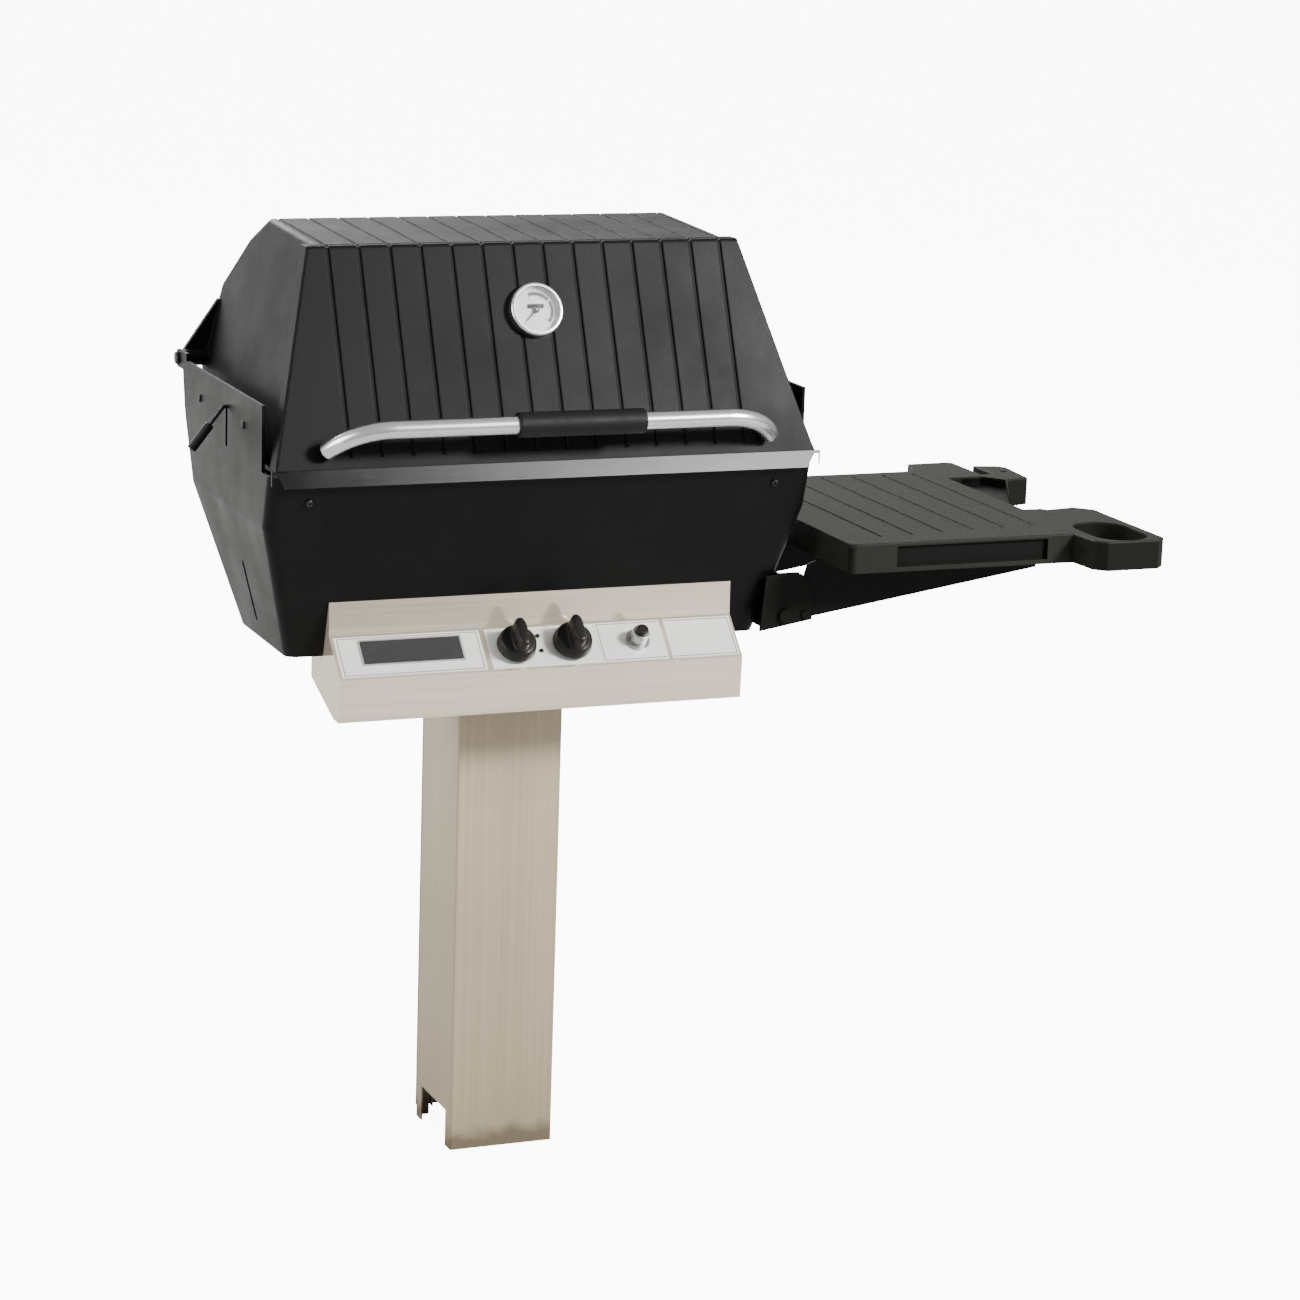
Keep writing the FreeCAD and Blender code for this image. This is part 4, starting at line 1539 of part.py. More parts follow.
def shelf_arm(side):
    front = ARMS[side]
    body = new_body("shelf_arm_plate_" + side)
    flat = sketch(body, "XZ", front)
    loop(flat, [("pivot_out - 8", "arm_low_inner"), ("arm_end", "arm_low_outer"), ("arm_end", "arm_top"),
                ("arm_inner", "arm_top"), ("arm_inner", "shelf_top - shelf_skirt - 1"),
                ("arm_inner - 11", "shelf_top - shelf_skirt - 1"), ("arm_inner - 23", "ear_high + 11"),
                ("arm_inner - 29", "ear_high - 8"), ("pivot_out + 5", "pivot_height + arc_radius + 11"),
                ("pivot_out - 4", "pivot_height + arc_radius + 11"), ("pivot_out - 13.5", "pivot_height + 4"),
                ("pivot_out - 13.5", "pivot_height - 4")])
    pad(body, flat, "arm_plate", 1)
    flange = sketch(body, "XY", "arm_top")
    box(flange, "arm_inner", front, "arm_end", front + " + arm_plate + arm_flange")
    pad(body, flange, "shelf_wall", -1)
    holes = sketch(body, "XY")
    for across, up in arm_screws(side):
        circle(holes, across, up, "small_screw + 0.2")
    pocket(body, holes)
    hub = circle(sketch(body, "XZ"), "pivot_out", "pivot_height", "pivot_bolt + running_gap")
    pocket(body, hub)
    tools = new_body("shelf_arc_tools_" + side)
    for across, up in (("pivot_out + arc_radius", "pivot_height"), ("pivot_out", "pivot_height + arc_radius")):
        pad(tools, circle(sketch(tools, "XZ", front), across, up, "arc_width / 2"), "arm_plate * 4")
    ring = new_body("shelf_arc_ring_" + side)
    flat = sketch(ring, "XZ", front)
    circle(flat, "pivot_out", "pivot_height", "arc_radius + arc_width / 2")
    circle(flat, "pivot_out", "pivot_height", "arc_radius - arc_width / 2")
    pad(ring, flat, "arm_plate * 4")
    quarter = new_body("shelf_arc_quarter_" + side)
    flat = sketch(quarter, "XZ", front)
    box(flat, "pivot_out", "pivot_height", "pivot_out + arc_radius * 2", "pivot_height + arc_radius * 2")
    pad(quarter, flat, "arm_plate * 4")
    arc = combine("Part::MultiCommon", "shelf_arc_" + side, ring, [quarter])
    slot_tool = combine("Part::MultiFuse", "shelf_arc_slot_" + side, arc, [tools])
    gather("shelf_arms", combine("Part::Cut", "shelf_arm_" + side, body, slot_tool))


def flank(height):
    """How far out the firebox side is at a height, up to its bend."""
    return leaning(height, "floor_half", "floor_height", "cheek_half", "bend_height")


def shelf_bracket(side):
    front = ARMS[side]
    body = new_body("shelf_bracket_plate_" + side)
    base = [(flank("bracket_low") + " + 0.05", "bracket_low"),
            (flank("bracket_low") + " + 0.05 + bracket_base", "bracket_low"),
            (flank("ear_high") + " + 0.05 + bracket_base", "ear_high"), (flank("ear_high") + " + 0.05", "ear_high")]
    ear = [(flank("bracket_low") + " + 1", "bracket_low"), ("ear_right", "ear_low + 12"),
           ("ear_right", "ear_high - 19"), ("ear_right - 16", "ear_high"), (flank("ear_high") + " + 1", "ear_high")]
    wide = [("ear_left", "ear_low"), ("ear_right", "ear_low + 12"), ("ear_right", "ear_high - 19"),
            ("ear_right - 16", "ear_high"), ("ear_left + 6.5", "ear_high")]
    near_side, far_side = front + " - ear_gap", front + " + arm_plate + ear_gap"
    if side == "front":
        pad(body, loop(sketch(body, "XZ", near_side + " - ear_plate"), base), "bracket_run", 1)
        pad(body, loop(sketch(body, "XZ", near_side), wide), "ear_plate", -1)
    else:
        pad(body, loop(sketch(body, "XZ", far_side + " + ear_plate - bracket_run * 0.78"), base),
            "bracket_run * 0.78", 1)
        pad(body, loop(sketch(body, "XZ", near_side), ear), "ear_plate", -1)
    pad(body, loop(sketch(body, "XZ", far_side), ear), "ear_plate", 1)
    pins = sketch(body, "XZ")
    circle(pins, "pivot_out", "pivot_height", "pivot_bolt + running_gap")
    circle(pins, "pivot_out + arc_radius", "pivot_height", "stop_pin + 0.02")
    pocket(body, pins)
    holes = tilted_body("bracket_holes_" + side, ON_BOX_FLANK)
    flat = sketch(holes, "XY")
    for across, up in FLANK_BOLTS:
        circle(flat, across, up, "bracket_bolt + 0.1")
    pad(holes, flat, "30")
    gather("shelf_brackets", combine("Part::Cut", "shelf_bracket_" + side, body, holes))


def shelf_fasteners():
    pivots = new_body("shelf_pivots")
    stops = new_body("shelf_stops")
    for side in ARMS:
        front = ARMS[side]
        near_side, far_side = front + " - ear_gap - ear_plate", front + " + arm_plate + ear_gap + ear_plate"
        pad(pivots, circle(sketch(pivots, "XZ", near_side), "pivot_out", "pivot_height", "pivot_head"), "5", -1)
        pad(pivots, circle(sketch(pivots, "XZ", near_side), "pivot_out", "pivot_height", "pivot_bolt"),
            "arm_plate + ear_gap * 2 + ear_plate * 2 + 8", 1)
        pad(pivots, circle(sketch(pivots, "XZ", far_side), "pivot_out", "pivot_height", "pivot_head"), "7", 1)
        for level in (near_side, far_side):
            way = -1 if level == near_side else 1
            pad(stops, circle(sketch(stops, "XZ", level), "pivot_out + arc_radius", "pivot_height",
                              "stop_pin + 2.5"), "2.5", way)
        pad(stops, circle(sketch(stops, "XZ", near_side), "pivot_out + arc_radius", "pivot_height", "stop_pin"),
            "arm_plate + ear_gap * 2 + ear_plate * 2", 1)
    keep(pivots)
    keep(stops)
    screws("bracket_bolts", "XY", "bracket_base * 0.97 + 0.05", 1, FLANK_BOLTS, "7", "4.5", "bracket_bolt",
           "bracket_base + box_wall + 9", "3", ON_BOX_FLANK, "box_bolts")
    places = [place for side in ARMS for place in arm_screws(side)]
    screws("shelf_screws", "XY", "arm_top - shelf_wall", -1, places, "small_head", "3", "small_screw",
           "shelf_wall + shelf_screw_rise", "1.6")


shelf_board()
for side in ARMS:
    shelf_arm(side)
    shelf_bracket(side)
shelf_fasteners()
screws("sleeve_bolts_left", "YZ", "-post_side / 2", -1,
       [(sign + "bolt_spread / 2", "post_rise - sleeve_bolt_drop") for sign in ("", "-")],
       "6", "3.6", "sleeve_bolt - 0.05", "12", "2", group="sleeve_bolts")
screws("sleeve_bolts_right", "YZ", "post_side / 2", 1,
       [(sign + "bolt_spread / 2", "post_rise - sleeve_bolt_drop") for sign in ("", "-")],
       "6", "3.6", "sleeve_bolt - 0.05", "12", "2", group="sleeve_bolts")
for group, pieces in groups.items():
    keep(combine("Part::Compound", group, pieces[0], pieces[1:]))


def write_all():
    """Check every object and solid, then write one file for each piece."""
    doc.recompute()
    for thing in doc.Objects:
        if "Invalid" in thing.State or "Error" in thing.State:
            raise ValueError("%s failed: %s" % (thing.Label, thing.State))
    os.makedirs("parts", exist_ok=True)
    for thing in nodes:
        shape = thing.Shape
        if shape.isNull() or not shape.isValid():
            raise ValueError("%s has no valid shape" % thing.Label)
        shape.exportStep("parts/%s.step" % thing.Label)
        size = shape.BoundBox
        print("%-22s solids %2d  volume %11.1f  x %7.1f %7.1f  y %7.1f %7.1f  z %7.1f %7.1f" % (
            thing.Label, len(shape.Solids), shape.Volume, size.XMin, size.XMax, size.YMin, size.YMax,
            size.ZMin, size.ZMax))


write_all()
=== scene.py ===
import bpy
import math
import numpy as np
from mathutils import Matrix, Vector


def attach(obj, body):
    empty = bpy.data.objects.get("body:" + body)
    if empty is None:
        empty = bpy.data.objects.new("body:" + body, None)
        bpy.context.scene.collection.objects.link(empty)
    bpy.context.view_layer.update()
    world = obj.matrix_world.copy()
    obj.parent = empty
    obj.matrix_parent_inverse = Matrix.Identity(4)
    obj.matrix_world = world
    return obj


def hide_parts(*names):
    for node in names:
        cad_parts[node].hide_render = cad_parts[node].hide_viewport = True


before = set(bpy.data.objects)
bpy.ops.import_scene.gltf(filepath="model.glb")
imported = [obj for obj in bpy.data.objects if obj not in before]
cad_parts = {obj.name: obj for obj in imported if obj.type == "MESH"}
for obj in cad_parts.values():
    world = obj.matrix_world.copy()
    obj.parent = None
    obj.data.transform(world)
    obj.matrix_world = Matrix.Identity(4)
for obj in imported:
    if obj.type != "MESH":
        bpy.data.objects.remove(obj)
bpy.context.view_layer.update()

# The view: the camera stands a little to the left of the grill and looks slightly down on it, from
# about five metres away, with a long lens. Its place was worked out from the straight edges of the
# lid, the panel and the post, and is kept as where it sees the middle of the firebox's rim.
film_width, lens_pixels, picture_pixels, farthest = 36.0, 3856.3, 1300.0, 100.0
turn, rise, roll = (math.radians(angle) for angle in (-22.359, 13.232, 1.89))
rim_middle = Vector((0, 0.06305, 0.931115))
rim_seen = Vector((-0.214891, -0.289450, 4.943938))  # metres to the right, down and ahead
towards_camera = Vector((math.sin(turn) * math.cos(rise), -math.cos(turn) * math.cos(rise),
                         math.sin(rise)))
level_right = (-towards_camera).cross(Vector((0, 0, 1))).normalized()
level_up = level_right.cross(-towards_camera)
right = math.cos(roll) * level_right + math.sin(roll) * level_up
up = -math.sin(roll) * level_right + math.cos(roll) * level_up
place = rim_middle - (right * rim_seen.x - up * rim_seen.y - towards_camera * rim_seen.z)
camera = bpy.data.objects.new("camera", bpy.data.cameras.new("camera"))
bpy.context.scene.collection.objects.link(camera)
camera.data.sensor_width = film_width
camera.data.lens = lens_pixels / picture_pixels * film_width
camera.data.clip_end = farthest
camera.matrix_world = (Matrix.Translation(place)
                       @ Matrix((right, up, towards_camera)).transposed().to_4x4())
bpy.context.scene.camera = camera

# The floor and the sky: a plain pale floor at grade, where the post goes in, under an even studio
# sky. The camera sees both lit white, while the metal mirrors them much darker.
floor_reach, seen_glow, sky_glow = 60, 10.0, 0.5


def plain_finish(name, **plain):
    """A new finish: its material, its node tree and its shader, with plain values set on that."""
    material = bpy.data.materials.new(name)
    material.use_nodes = True
    shader = material.node_tree.nodes["Principled BSDF"]
    for label, value in plain.items():
        shader.inputs[label.replace("_", " ")].default_value = value
    return material, material.node_tree, shader


def studio_sheet(name, x_range, y_range, level, paint):
    """A flat level oblong of the studio, between two places across and two places deep."""
    corners = [(x_range[0], y_range[0], level), (x_range[1], y_range[0], level),
               (x_range[1], y_range[1], level), (x_range[0], y_range[1], level)]
    mesh = bpy.data.meshes.new(name)
    mesh.from_pydata(corners, [], [(0, 1, 2, 3)])
    mesh.materials.append(paint)
    sheet = bpy.data.objects.new(name, mesh)
    bpy.context.scene.collection.objects.link(sheet)
    return sheet


def glow_for_camera(tree, socket, glow, elsewhere):
    """Feed a strength: the glow where the camera looks straight at it, plus what it is elsewhere."""
    seen = tree.nodes.new("ShaderNodeMath")
    seen.operation = "MULTIPLY_ADD"
    seen.inputs[1].default_value, seen.inputs[2].default_value = glow, elsewhere
    tree.links.new(tree.nodes.new("ShaderNodeLightPath").outputs["Is Camera Ray"], seen.inputs[0])
    tree.links.new(seen.outputs[0], socket)


floor_paint, floor_tree, floor_shader = plain_finish(
    "pale_floor", Base_Color=(0.40, 0.40, 0.40, 1), Roughness=0.95, Emission_Color=(1, 1, 1, 1))
glow_for_camera(floor_tree, floor_shader.inputs["Emission Strength"], seen_glow, 0.0)
floor = studio_sheet("floor", (-floor_reach, floor_reach), (-floor_reach, floor_reach), 0, floor_paint)
sky = bpy.data.worlds.new("studio_sky")
bpy.context.scene.world = sky
sky.use_nodes = True
sky_shader = sky.node_tree.nodes["Background"]
sky_shader.inputs["Color"].default_value = (1.0, 1.0, 1.0, 1)
glow_for_camera(sky.node_tree, sky_shader.inputs["Strength"], seen_glow, sky_glow)

# The lights: a large soft one hangs high behind the grill and whitens the floor that its left side
# mirrors. Two weak ones behind lighten its edges, one stands at the left, and a small strong one
# at the front right draws the shadows under the lid and the panel.
lamp_white = (1.0, 0.99, 0.96)


def soft_light(name, spot, aim, width, height, power):
    """A rectangular studio light at a spot, turned to face a point, and not seen by the camera."""
    lamp = bpy.data.lights.new(name, "AREA")
    lamp.shape, lamp.size, lamp.size_y, lamp.energy = "RECTANGLE", width, height, power
    lamp.color = lamp_white
    holder = bpy.data.objects.new(name, lamp)
    holder.location = spot
    holder.rotation_euler = (Vector(aim) - Vector(spot)).to_track_quat("-Z", "Y").to_euler()
    holder.visible_camera = False
    bpy.context.scene.collection.objects.link(holder)


soft_light("back_light", (-1.2, 4.7, 3.6), (-1.0, 4.3, 0), 4.5, 3.0, 640)
soft_light("rim_light", (-3.0, 6.4, 1.2), (0, 0, 1.1), 3.0, 1.6, 30)
soft_light("left_light", (-3.6, -0.9, 2.0), (0, 0, 0.8), 2.2, 2.2, 95)
soft_light("front_light", (3.2, -3.6, 3.3), (0, 0, 0.8), 0.9, 0.9, 560)
soft_light("back_fill", (2.4, 5.2, 2.7), (0, 0, 1.0), 2.6, 1.6, 16)

# The black card: it lies on the floor in front of the grill, where the camera doesn't see it and it
# shades nothing, so that the trim and the firebox's front mirror something dark low down.
flag_paint = plain_finish("flag_black", Base_Color=(0.01, 0.01, 0.01, 1))[0]
flag = studio_sheet("flag", (-0.6, 1.45), (-5.4, -3.5), 0.01, flag_paint)
flag.visible_camera = False
flag.visible_shadow = False

# The post: brushed stainless sheet folded to a square tube, open at the back, where a screwed cover
# of the same sheet closes it above the ground. The brushing runs up and down. Its colour turns darker
# and yellower towards its foot, and a ragged dark band of painted shade marks where it goes into the
# ground.
scratch_dark, scratch_light = (0.41, 0.335, 0.235, 1), (0.545, 0.45, 0.32, 1)
cloud_shade, foot_tone = (0.345, 0.28, 0.195, 1), (0.26, 0.225, 0.14, 1)
# The colour and reach of a ragged dark band painted at grade, a painted shade where the post goes into
# the ground.
painted_grade_shade = (0.10, 0.075, 0.045, 1)
darkening_from, darkening_to = 0.46, 0.02
grade_band_low, grade_band_high, grade_band_raggedness = -0.006, 0.016, -0.035


def add(tree, kind, **settings):
    """Add a shader node and give back its outputs. A setting is the node's own, or it fills the input of
    that name (or number, as in in0) with a plain value or a link."""
    node = tree.nodes.new("ShaderNode" + kind)
    own = {name: value for name, value in settings.items() if hasattr(node, name)}
    for name, value in own.items():
        setattr(node, name, value)
    for name, value in settings.items():
        if name in own:
            continue
        numbered = name[:2] == "in" and name[2:].isdigit()
        socket = node.inputs[int(name[2:]) if numbered else name.replace("_", " ")]
        if isinstance(value, bpy.types.NodeSocket):
            tree.links.new(value, socket)
        else:
            socket.default_value = value
    return node.outputs


def mixed(tree, amount, first, second):
    """The first colour where the amount is 0, the second where it is 1."""
    return add(tree, "Mix", data_type="RGBA", in0=amount, in6=first, in7=second)[2]


def spread(tree, value, low, high, new_low=0.0, new_high=1.0):
    """Stretch the part of a value between low and high over a new range."""
    return add(tree, "MapRange", Value=value, From_Min=low, From_Max=high, To_Min=new_low,
               To_Max=new_high)[0]


def worked(tree, operation, first, second=0.0):
    """One step of arithmetic on two values."""
    return add(tree, "Math", operation=operation, in0=first, in1=second)[0]


def effect(name, inputs, outputs):
    """An empty node group with named inputs, at their usual values, and named outputs."""
    tree = bpy.data.node_groups.new(name, "ShaderNodeTree")
    for label, usual in inputs.items():
        kind = "NodeSocketVector" if isinstance(usual, tuple) else "NodeSocketFloat"
        socket = tree.interface.new_socket(label, in_out="INPUT", socket_type=kind)
        socket.default_value = usual
    for label, kind in outputs.items():
        tree.interface.new_socket(label, in_out="OUTPUT", socket_type="NodeSocket" + kind)
    given, result = tree.nodes.new("NodeGroupInput").outputs, tree.nodes.new("NodeGroupOutput").inputs
    return tree, given, result


def finish(name, **plain):
    """A new finish, as from plain_finish, and the place on the object that its patterns follow."""
    material, tree, shader = plain_finish(name, **plain)
    return material, tree, shader, add(tree, "TexCoord")["Object"]


def lay_on(tree, shader, **links):
    """Link worked-out colours, roughness or normals to the shader."""
    for label, source in links.items():
        tree.links.new(source, shader.inputs[label.replace("_", " ")])


def dress(material, *nodes):
    """Give a finish to the CAD pieces of these names."""
    for name in nodes:
        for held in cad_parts[name].material_slots:
            held.material = material


# Brushing: long thin scratches, made by noise that is squeezed across the grain and drawn out along it
brushing, given, result = effect("brushing", {"Place": (0.0, 0.0, 0.0), "Squeeze": (900.0, 900.0, 6.0),
                                              "Depth": 0.00002},
                                 {"Streak": "Float", "Cloud": "Float", "Normal": "Vector"})
drawn = add(brushing, "VectorMath", operation="MULTIPLY", in0=given["Place"], in1=given["Squeeze"])[0]
fine = add(brushing, "TexNoise", Vector=drawn, Scale=1.0, Detail=3.0, Roughness=0.7)["Fac"]
wide = add(brushing, "TexNoise", Vector=drawn, Scale=0.16, Detail=2.0)["Fac"]
cloud = add(brushing, "TexNoise", Vector=given["Place"], Scale=7.0, Detail=3.0, Roughness=0.6)["Fac"]
streak = worked(brushing, "ADD", worked(brushing, "MULTIPLY", fine, 0.6),
                worked(brushing, "MULTIPLY", wide, 0.4))
brushing.links.new(streak, result["Streak"])
brushing.links.new(cloud, result["Cloud"])
brushing.links.new(add(brushing, "Bump", Height=streak, Distance=given["Depth"], Strength=0.6)["Normal"],
                   result["Normal"])

post_steel, tree, shader, spot = finish("post_steel")
grain = add(tree, "Group", node_tree=brushing, Place=spot, Squeeze=(1100.0, 1100.0, 5.0), Depth=0.00003)
steel_tone = mixed(tree, spread(tree, grain["Streak"], 0.35, 0.65), scratch_dark, scratch_light)
clouded = spread(tree, grain["Cloud"], 0.45, 0.75, 0.0, 0.35)
steel_tone = mixed(tree, clouded, steel_tone, cloud_shade)
height = add(tree, "SeparateXYZ", Vector=spot)[2]
# The colour turns darker and yellower towards the foot.
darker_towards_foot = spread(tree, height, darkening_from, darkening_to, 0.0, 0.55)
steel_tone = mixed(tree, darker_towards_foot, steel_tone, foot_tone)
# A ragged dark band painted at grade, a painted shade where the post goes into the ground; it is also
# rougher and less metallic.
ragged = add(tree, "TexNoise", Vector=spot, Scale=38.0, Detail=4.0)["Fac"]
grade_band_edge = worked(tree, "ADD", height, worked(tree, "MULTIPLY", ragged, grade_band_raggedness))
grade_shade_band = spread(tree, grade_band_edge, grade_band_low, grade_band_high, 0.85, 0.0)
lay_on(tree, shader, Base_Color=mixed(tree, grade_shade_band, steel_tone, painted_grade_shade),
       Roughness=worked(tree, "ADD", spread(tree, grain["Streak"], 0.3, 0.7, 0.36, 0.48),
                        worked(tree, "MULTIPLY", grade_shade_band, 0.4)),
       Metallic=spread(tree, grade_shade_band, 0.0, 0.85, 0.20, 0.05), Normal=grain["Normal"])
dress(post_steel, "post_shell", "post_rear_cover")

# The saddle and the plated fittings: steel plate and sheet, welded, bent or turned and then zinc
# plated, with the faint crystal pattern of the plating and dull grey patches.
flake_dark, flake_light, dull_patch = (0.40, 0.41, 0.42, 1), (0.58, 0.59, 0.61, 1), (0.30, 0.30, 0.30, 1)
plating, given, result = effect("plating", {"Place": (0.0, 0.0, 0.0), "Crystal": 160.0},
                                {"Flake": "Float", "Patch": "Float", "Normal": "Vector"})
flakes = add(plating, "TexVoronoi", Vector=given["Place"], Scale=given["Crystal"])["Color"]
flake = add(plating, "RGBToBW", Color=flakes)[0]
patch = add(plating, "TexNoise", Vector=given["Place"], Scale=22.0, Detail=4.0, Roughness=0.65)["Fac"]
plating.links.new(flake, result["Flake"])
plating.links.new(patch, result["Patch"])
plating.links.new(add(plating, "Bump", Height=flake, Distance=0.00002, Strength=0.5)["Normal"],
                  result["Normal"])

zinc_steel, tree, shader, spot = finish("zinc_steel", Metallic=1.0)
zinc = add(tree, "Group", node_tree=plating, Place=spot, Crystal=170.0)
zinc_tone = mixed(tree, zinc["Flake"], flake_dark, flake_light)
lay_on(tree, shader,
       Base_Color=mixed(tree, spread(tree, zinc["Patch"], 0.5, 0.75, 0.0, 0.6), zinc_tone, dull_patch),
       Roughness=spread(tree, zinc["Patch"], 0.3, 0.7, 0.34, 0.55), Normal=zinc["Normal"])
dress(zinc_steel, "head_bracket", "box_bolts", "manifold_brackets", "igniter_nut", "venturis",
      "grease_rails", "grease_cup", "shutter_guides", "shutter_plate", "handle_bolts")

# The firebox: one sand casting in aluminium, coated in satin black that still shows the fine pebble
# of the sand, a little duller and browner where the heat and the drips have been. The handle's two
# feet are cast and coated in the same way.
coat_dark, coat_light = (0.0020, 0.0020, 0.0020, 1), (0.0040, 0.0039, 0.0037, 1)
heat_brown = (0.0075, 0.0066, 0.0056, 1)
casting, given, result = effect("casting", {"Place": (0.0, 0.0, 0.0), "Pebble": 520.0, "Depth": 0.00012,
                                            "Round": 0.0008},
                                {"Mottle": "Float", "Normal": "Vector"})
pebbles = add(casting, "TexNoise", Vector=given["Place"], Scale=given["Pebble"], Detail=3.0,
              Roughness=0.55)["Fac"]
mottle = add(casting, "TexNoise", Vector=given["Place"], Scale=9.0, Detail=4.0, Roughness=0.62)["Fac"]
eased = add(casting, "Bevel", samples=4, Radius=given["Round"])[0]
casting.links.new(mottle, result["Mottle"])
casting.links.new(add(casting, "Bump", Height=pebbles, Distance=given["Depth"], Strength=1.0,
                      Normal=eased)["Normal"], result["Normal"])

cast_dark, tree, shader, spot = finish("cast_dark", Specular_IOR_Level=0.14)
sand = add(tree, "Group", node_tree=casting, Place=spot, Pebble=560.0, Depth=0.00010)
black = mixed(tree, sand["Mottle"], coat_dark, coat_light)
heat = add(tree, "TexNoise", Vector=spot, Scale=4.5, Detail=5.0, Roughness=0.7)["Fac"]
black = mixed(tree, spread(tree, heat, 0.55, 0.8, 0.0, 0.5), black, heat_brown)
lay_on(tree, shader, Base_Color=black, Roughness=spread(tree, sand["Mottle"], 0.3, 0.7, 0.34, 0.46),
       Normal=sand["Normal"])
dress(cast_dark, "firebox", "handle_feet")

# The hood: a lighter casting hinged at the cheeks' back corners, coated in charcoal. Its ribs are
# parted by grooves, which are painted darker than the ribs, a painted shade, and are also duller.
rib_pitch, rib_count = 0.0395, 14
groove_core, groove_edge = 0.045, 0.085  # half widths, in parts of the pitch
groove_foot, groove_full = 0.941, 0.945
charcoal_dark, charcoal_light = (0.0021, 0.0020, 0.0027, 1), (0.0039, 0.0037, 0.0047, 1)
# The colour of the painted shade in the grooves.
painted_groove_shade = (0.0013, 0.0013, 0.0014, 1)
cast_hood, tree, shader, spot = finish("cast_hood", Specular_IOR_Level=0.145)
sand = add(tree, "Group", node_tree=casting, Place=spot, Pebble=480.0, Depth=0.00014, Round=0.0025)
parted = add(tree, "SeparateXYZ", Vector=spot)
across, high = parted[0], parted[2]
turns = worked(tree, "ADD", worked(tree, "DIVIDE", across, rib_pitch), rib_count * 0.5)
off_groove = worked(tree, "ABSOLUTE", worked(tree, "SUBTRACT", worked(tree, "FRACT", turns), 0.5))
in_groove = spread(tree, off_groove, groove_core, groove_edge, 1.0, 0.0)
in_field = worked(tree, "LESS_THAN", worked(tree, "ABSOLUTE", across), rib_pitch * rib_count / 2)
above_foot = spread(tree, high, groove_foot, groove_full)
# The groove mask: painted shade in the colour, and more roughness, along each groove.
groove_shade_and_dull = worked(tree, "MULTIPLY", worked(tree, "MULTIPLY", in_groove, in_field), above_foot)
charcoal = mixed(tree, sand["Mottle"], charcoal_dark, charcoal_light)
lay_on(tree, shader, Base_Color=mixed(tree, groove_shade_and_dull, charcoal, painted_groove_shade),
       Roughness=worked(tree, "ADD", spread(tree, sand["Mottle"], 0.3, 0.7, 0.42, 0.54),
                        worked(tree, "MULTIPLY", groove_shade_and_dull, 0.10)),
       Normal=sand["Normal"])
dress(cast_hood, "hood")

# The handle tube and the thermometer's bezel: polished chrome steel, with the faint lines of the
# buffing wheel. The tube is bent at both ends and bolted to the hood through two feet.
chrome_dark, chrome_light = (0.78, 0.78, 0.79, 1), (0.88, 0.88, 0.89, 1)
bright_steel, tree, shader, spot = finish("bright_steel", Metallic=1.0)
grain = add(tree, "Group", node_tree=brushing, Place=spot, Squeeze=(30.0, 1500.0, 1500.0), Depth=0.00001)
lay_on(tree, shader,
       Base_Color=mixed(tree, grain["Cloud"], chrome_dark, chrome_light),
       Roughness=spread(tree, grain["Streak"], 0.3, 0.7, 0.22, 0.34), Normal=grain["Normal"])
dress(bright_steel, "handle_tube", "thermo_case")

# The trim: a polished steel strip along the lid's front rim. A painted dark reflection darkens it
# towards its left end, in a ragged fade over its middle.
painted_dark_reflection, polished_shade = (0.06, 0.06, 0.062, 1), (0.80, 0.80, 0.80, 1)
reflection_dark_end, reflection_bright_end = -0.30, 0.30
trim_steel, tree, shader, spot = finish("trim_steel", Metallic=1.0)
grain = add(tree, "Group", node_tree=brushing, Place=spot, Squeeze=(30.0, 1500.0, 1500.0), Depth=0.00001)
# A painted reflection: the colour fades from dark at the left end to bright steel at the right,
# raggedly.
fade_raggedness = add(tree, "TexNoise", Vector=spot, Scale=26.0, Detail=4.0, Roughness=0.6)["Fac"]
reflection_fade = worked(tree, "ADD", add(tree, "SeparateXYZ", Vector=spot)[0],
                worked(tree, "MULTIPLY", fade_raggedness, 0.10))
lay_on(tree, shader,
       Base_Color=mixed(tree, spread(tree, reflection_fade, reflection_dark_end, reflection_bright_end), painted_dark_reflection, polished_shade),
       Roughness=spread(tree, grain["Streak"], 0.3, 0.7, 0.16, 0.26), Normal=grain["Normal"])
dress(trim_steel, "hood_front_trim")

# The lever's grip, the knobs and the button: black plastic moulded in spark-worn steel tools, which
# give it a fine leathery skin, with a slight polish where fingers hold it.
plastic_dark, plastic_light = (0.0042, 0.0035, 0.0032, 1), (0.0085, 0.0072, 0.0068, 1)
black_plastic, tree, shader, spot = finish("black_plastic", Specular_IOR_Level=0.28)
skin = add(tree, "TexVoronoi", Vector=spot, Scale=1400.0, feature="SMOOTH_F1")["Distance"]
rubbed = add(tree, "TexNoise", Vector=spot, Scale=60.0, Detail=3.0)["Fac"]
lay_on(tree, shader,
       Base_Color=mixed(tree, rubbed, plastic_dark, plastic_light),
       Roughness=spread(tree, rubbed, 0.35, 0.7, 0.50, 0.34),
       Normal=add(tree, "Bump", Height=skin, Distance=0.00006, Strength=0.7)["Normal"])
dress(black_plastic, "shutter_grip", "igniter_button")

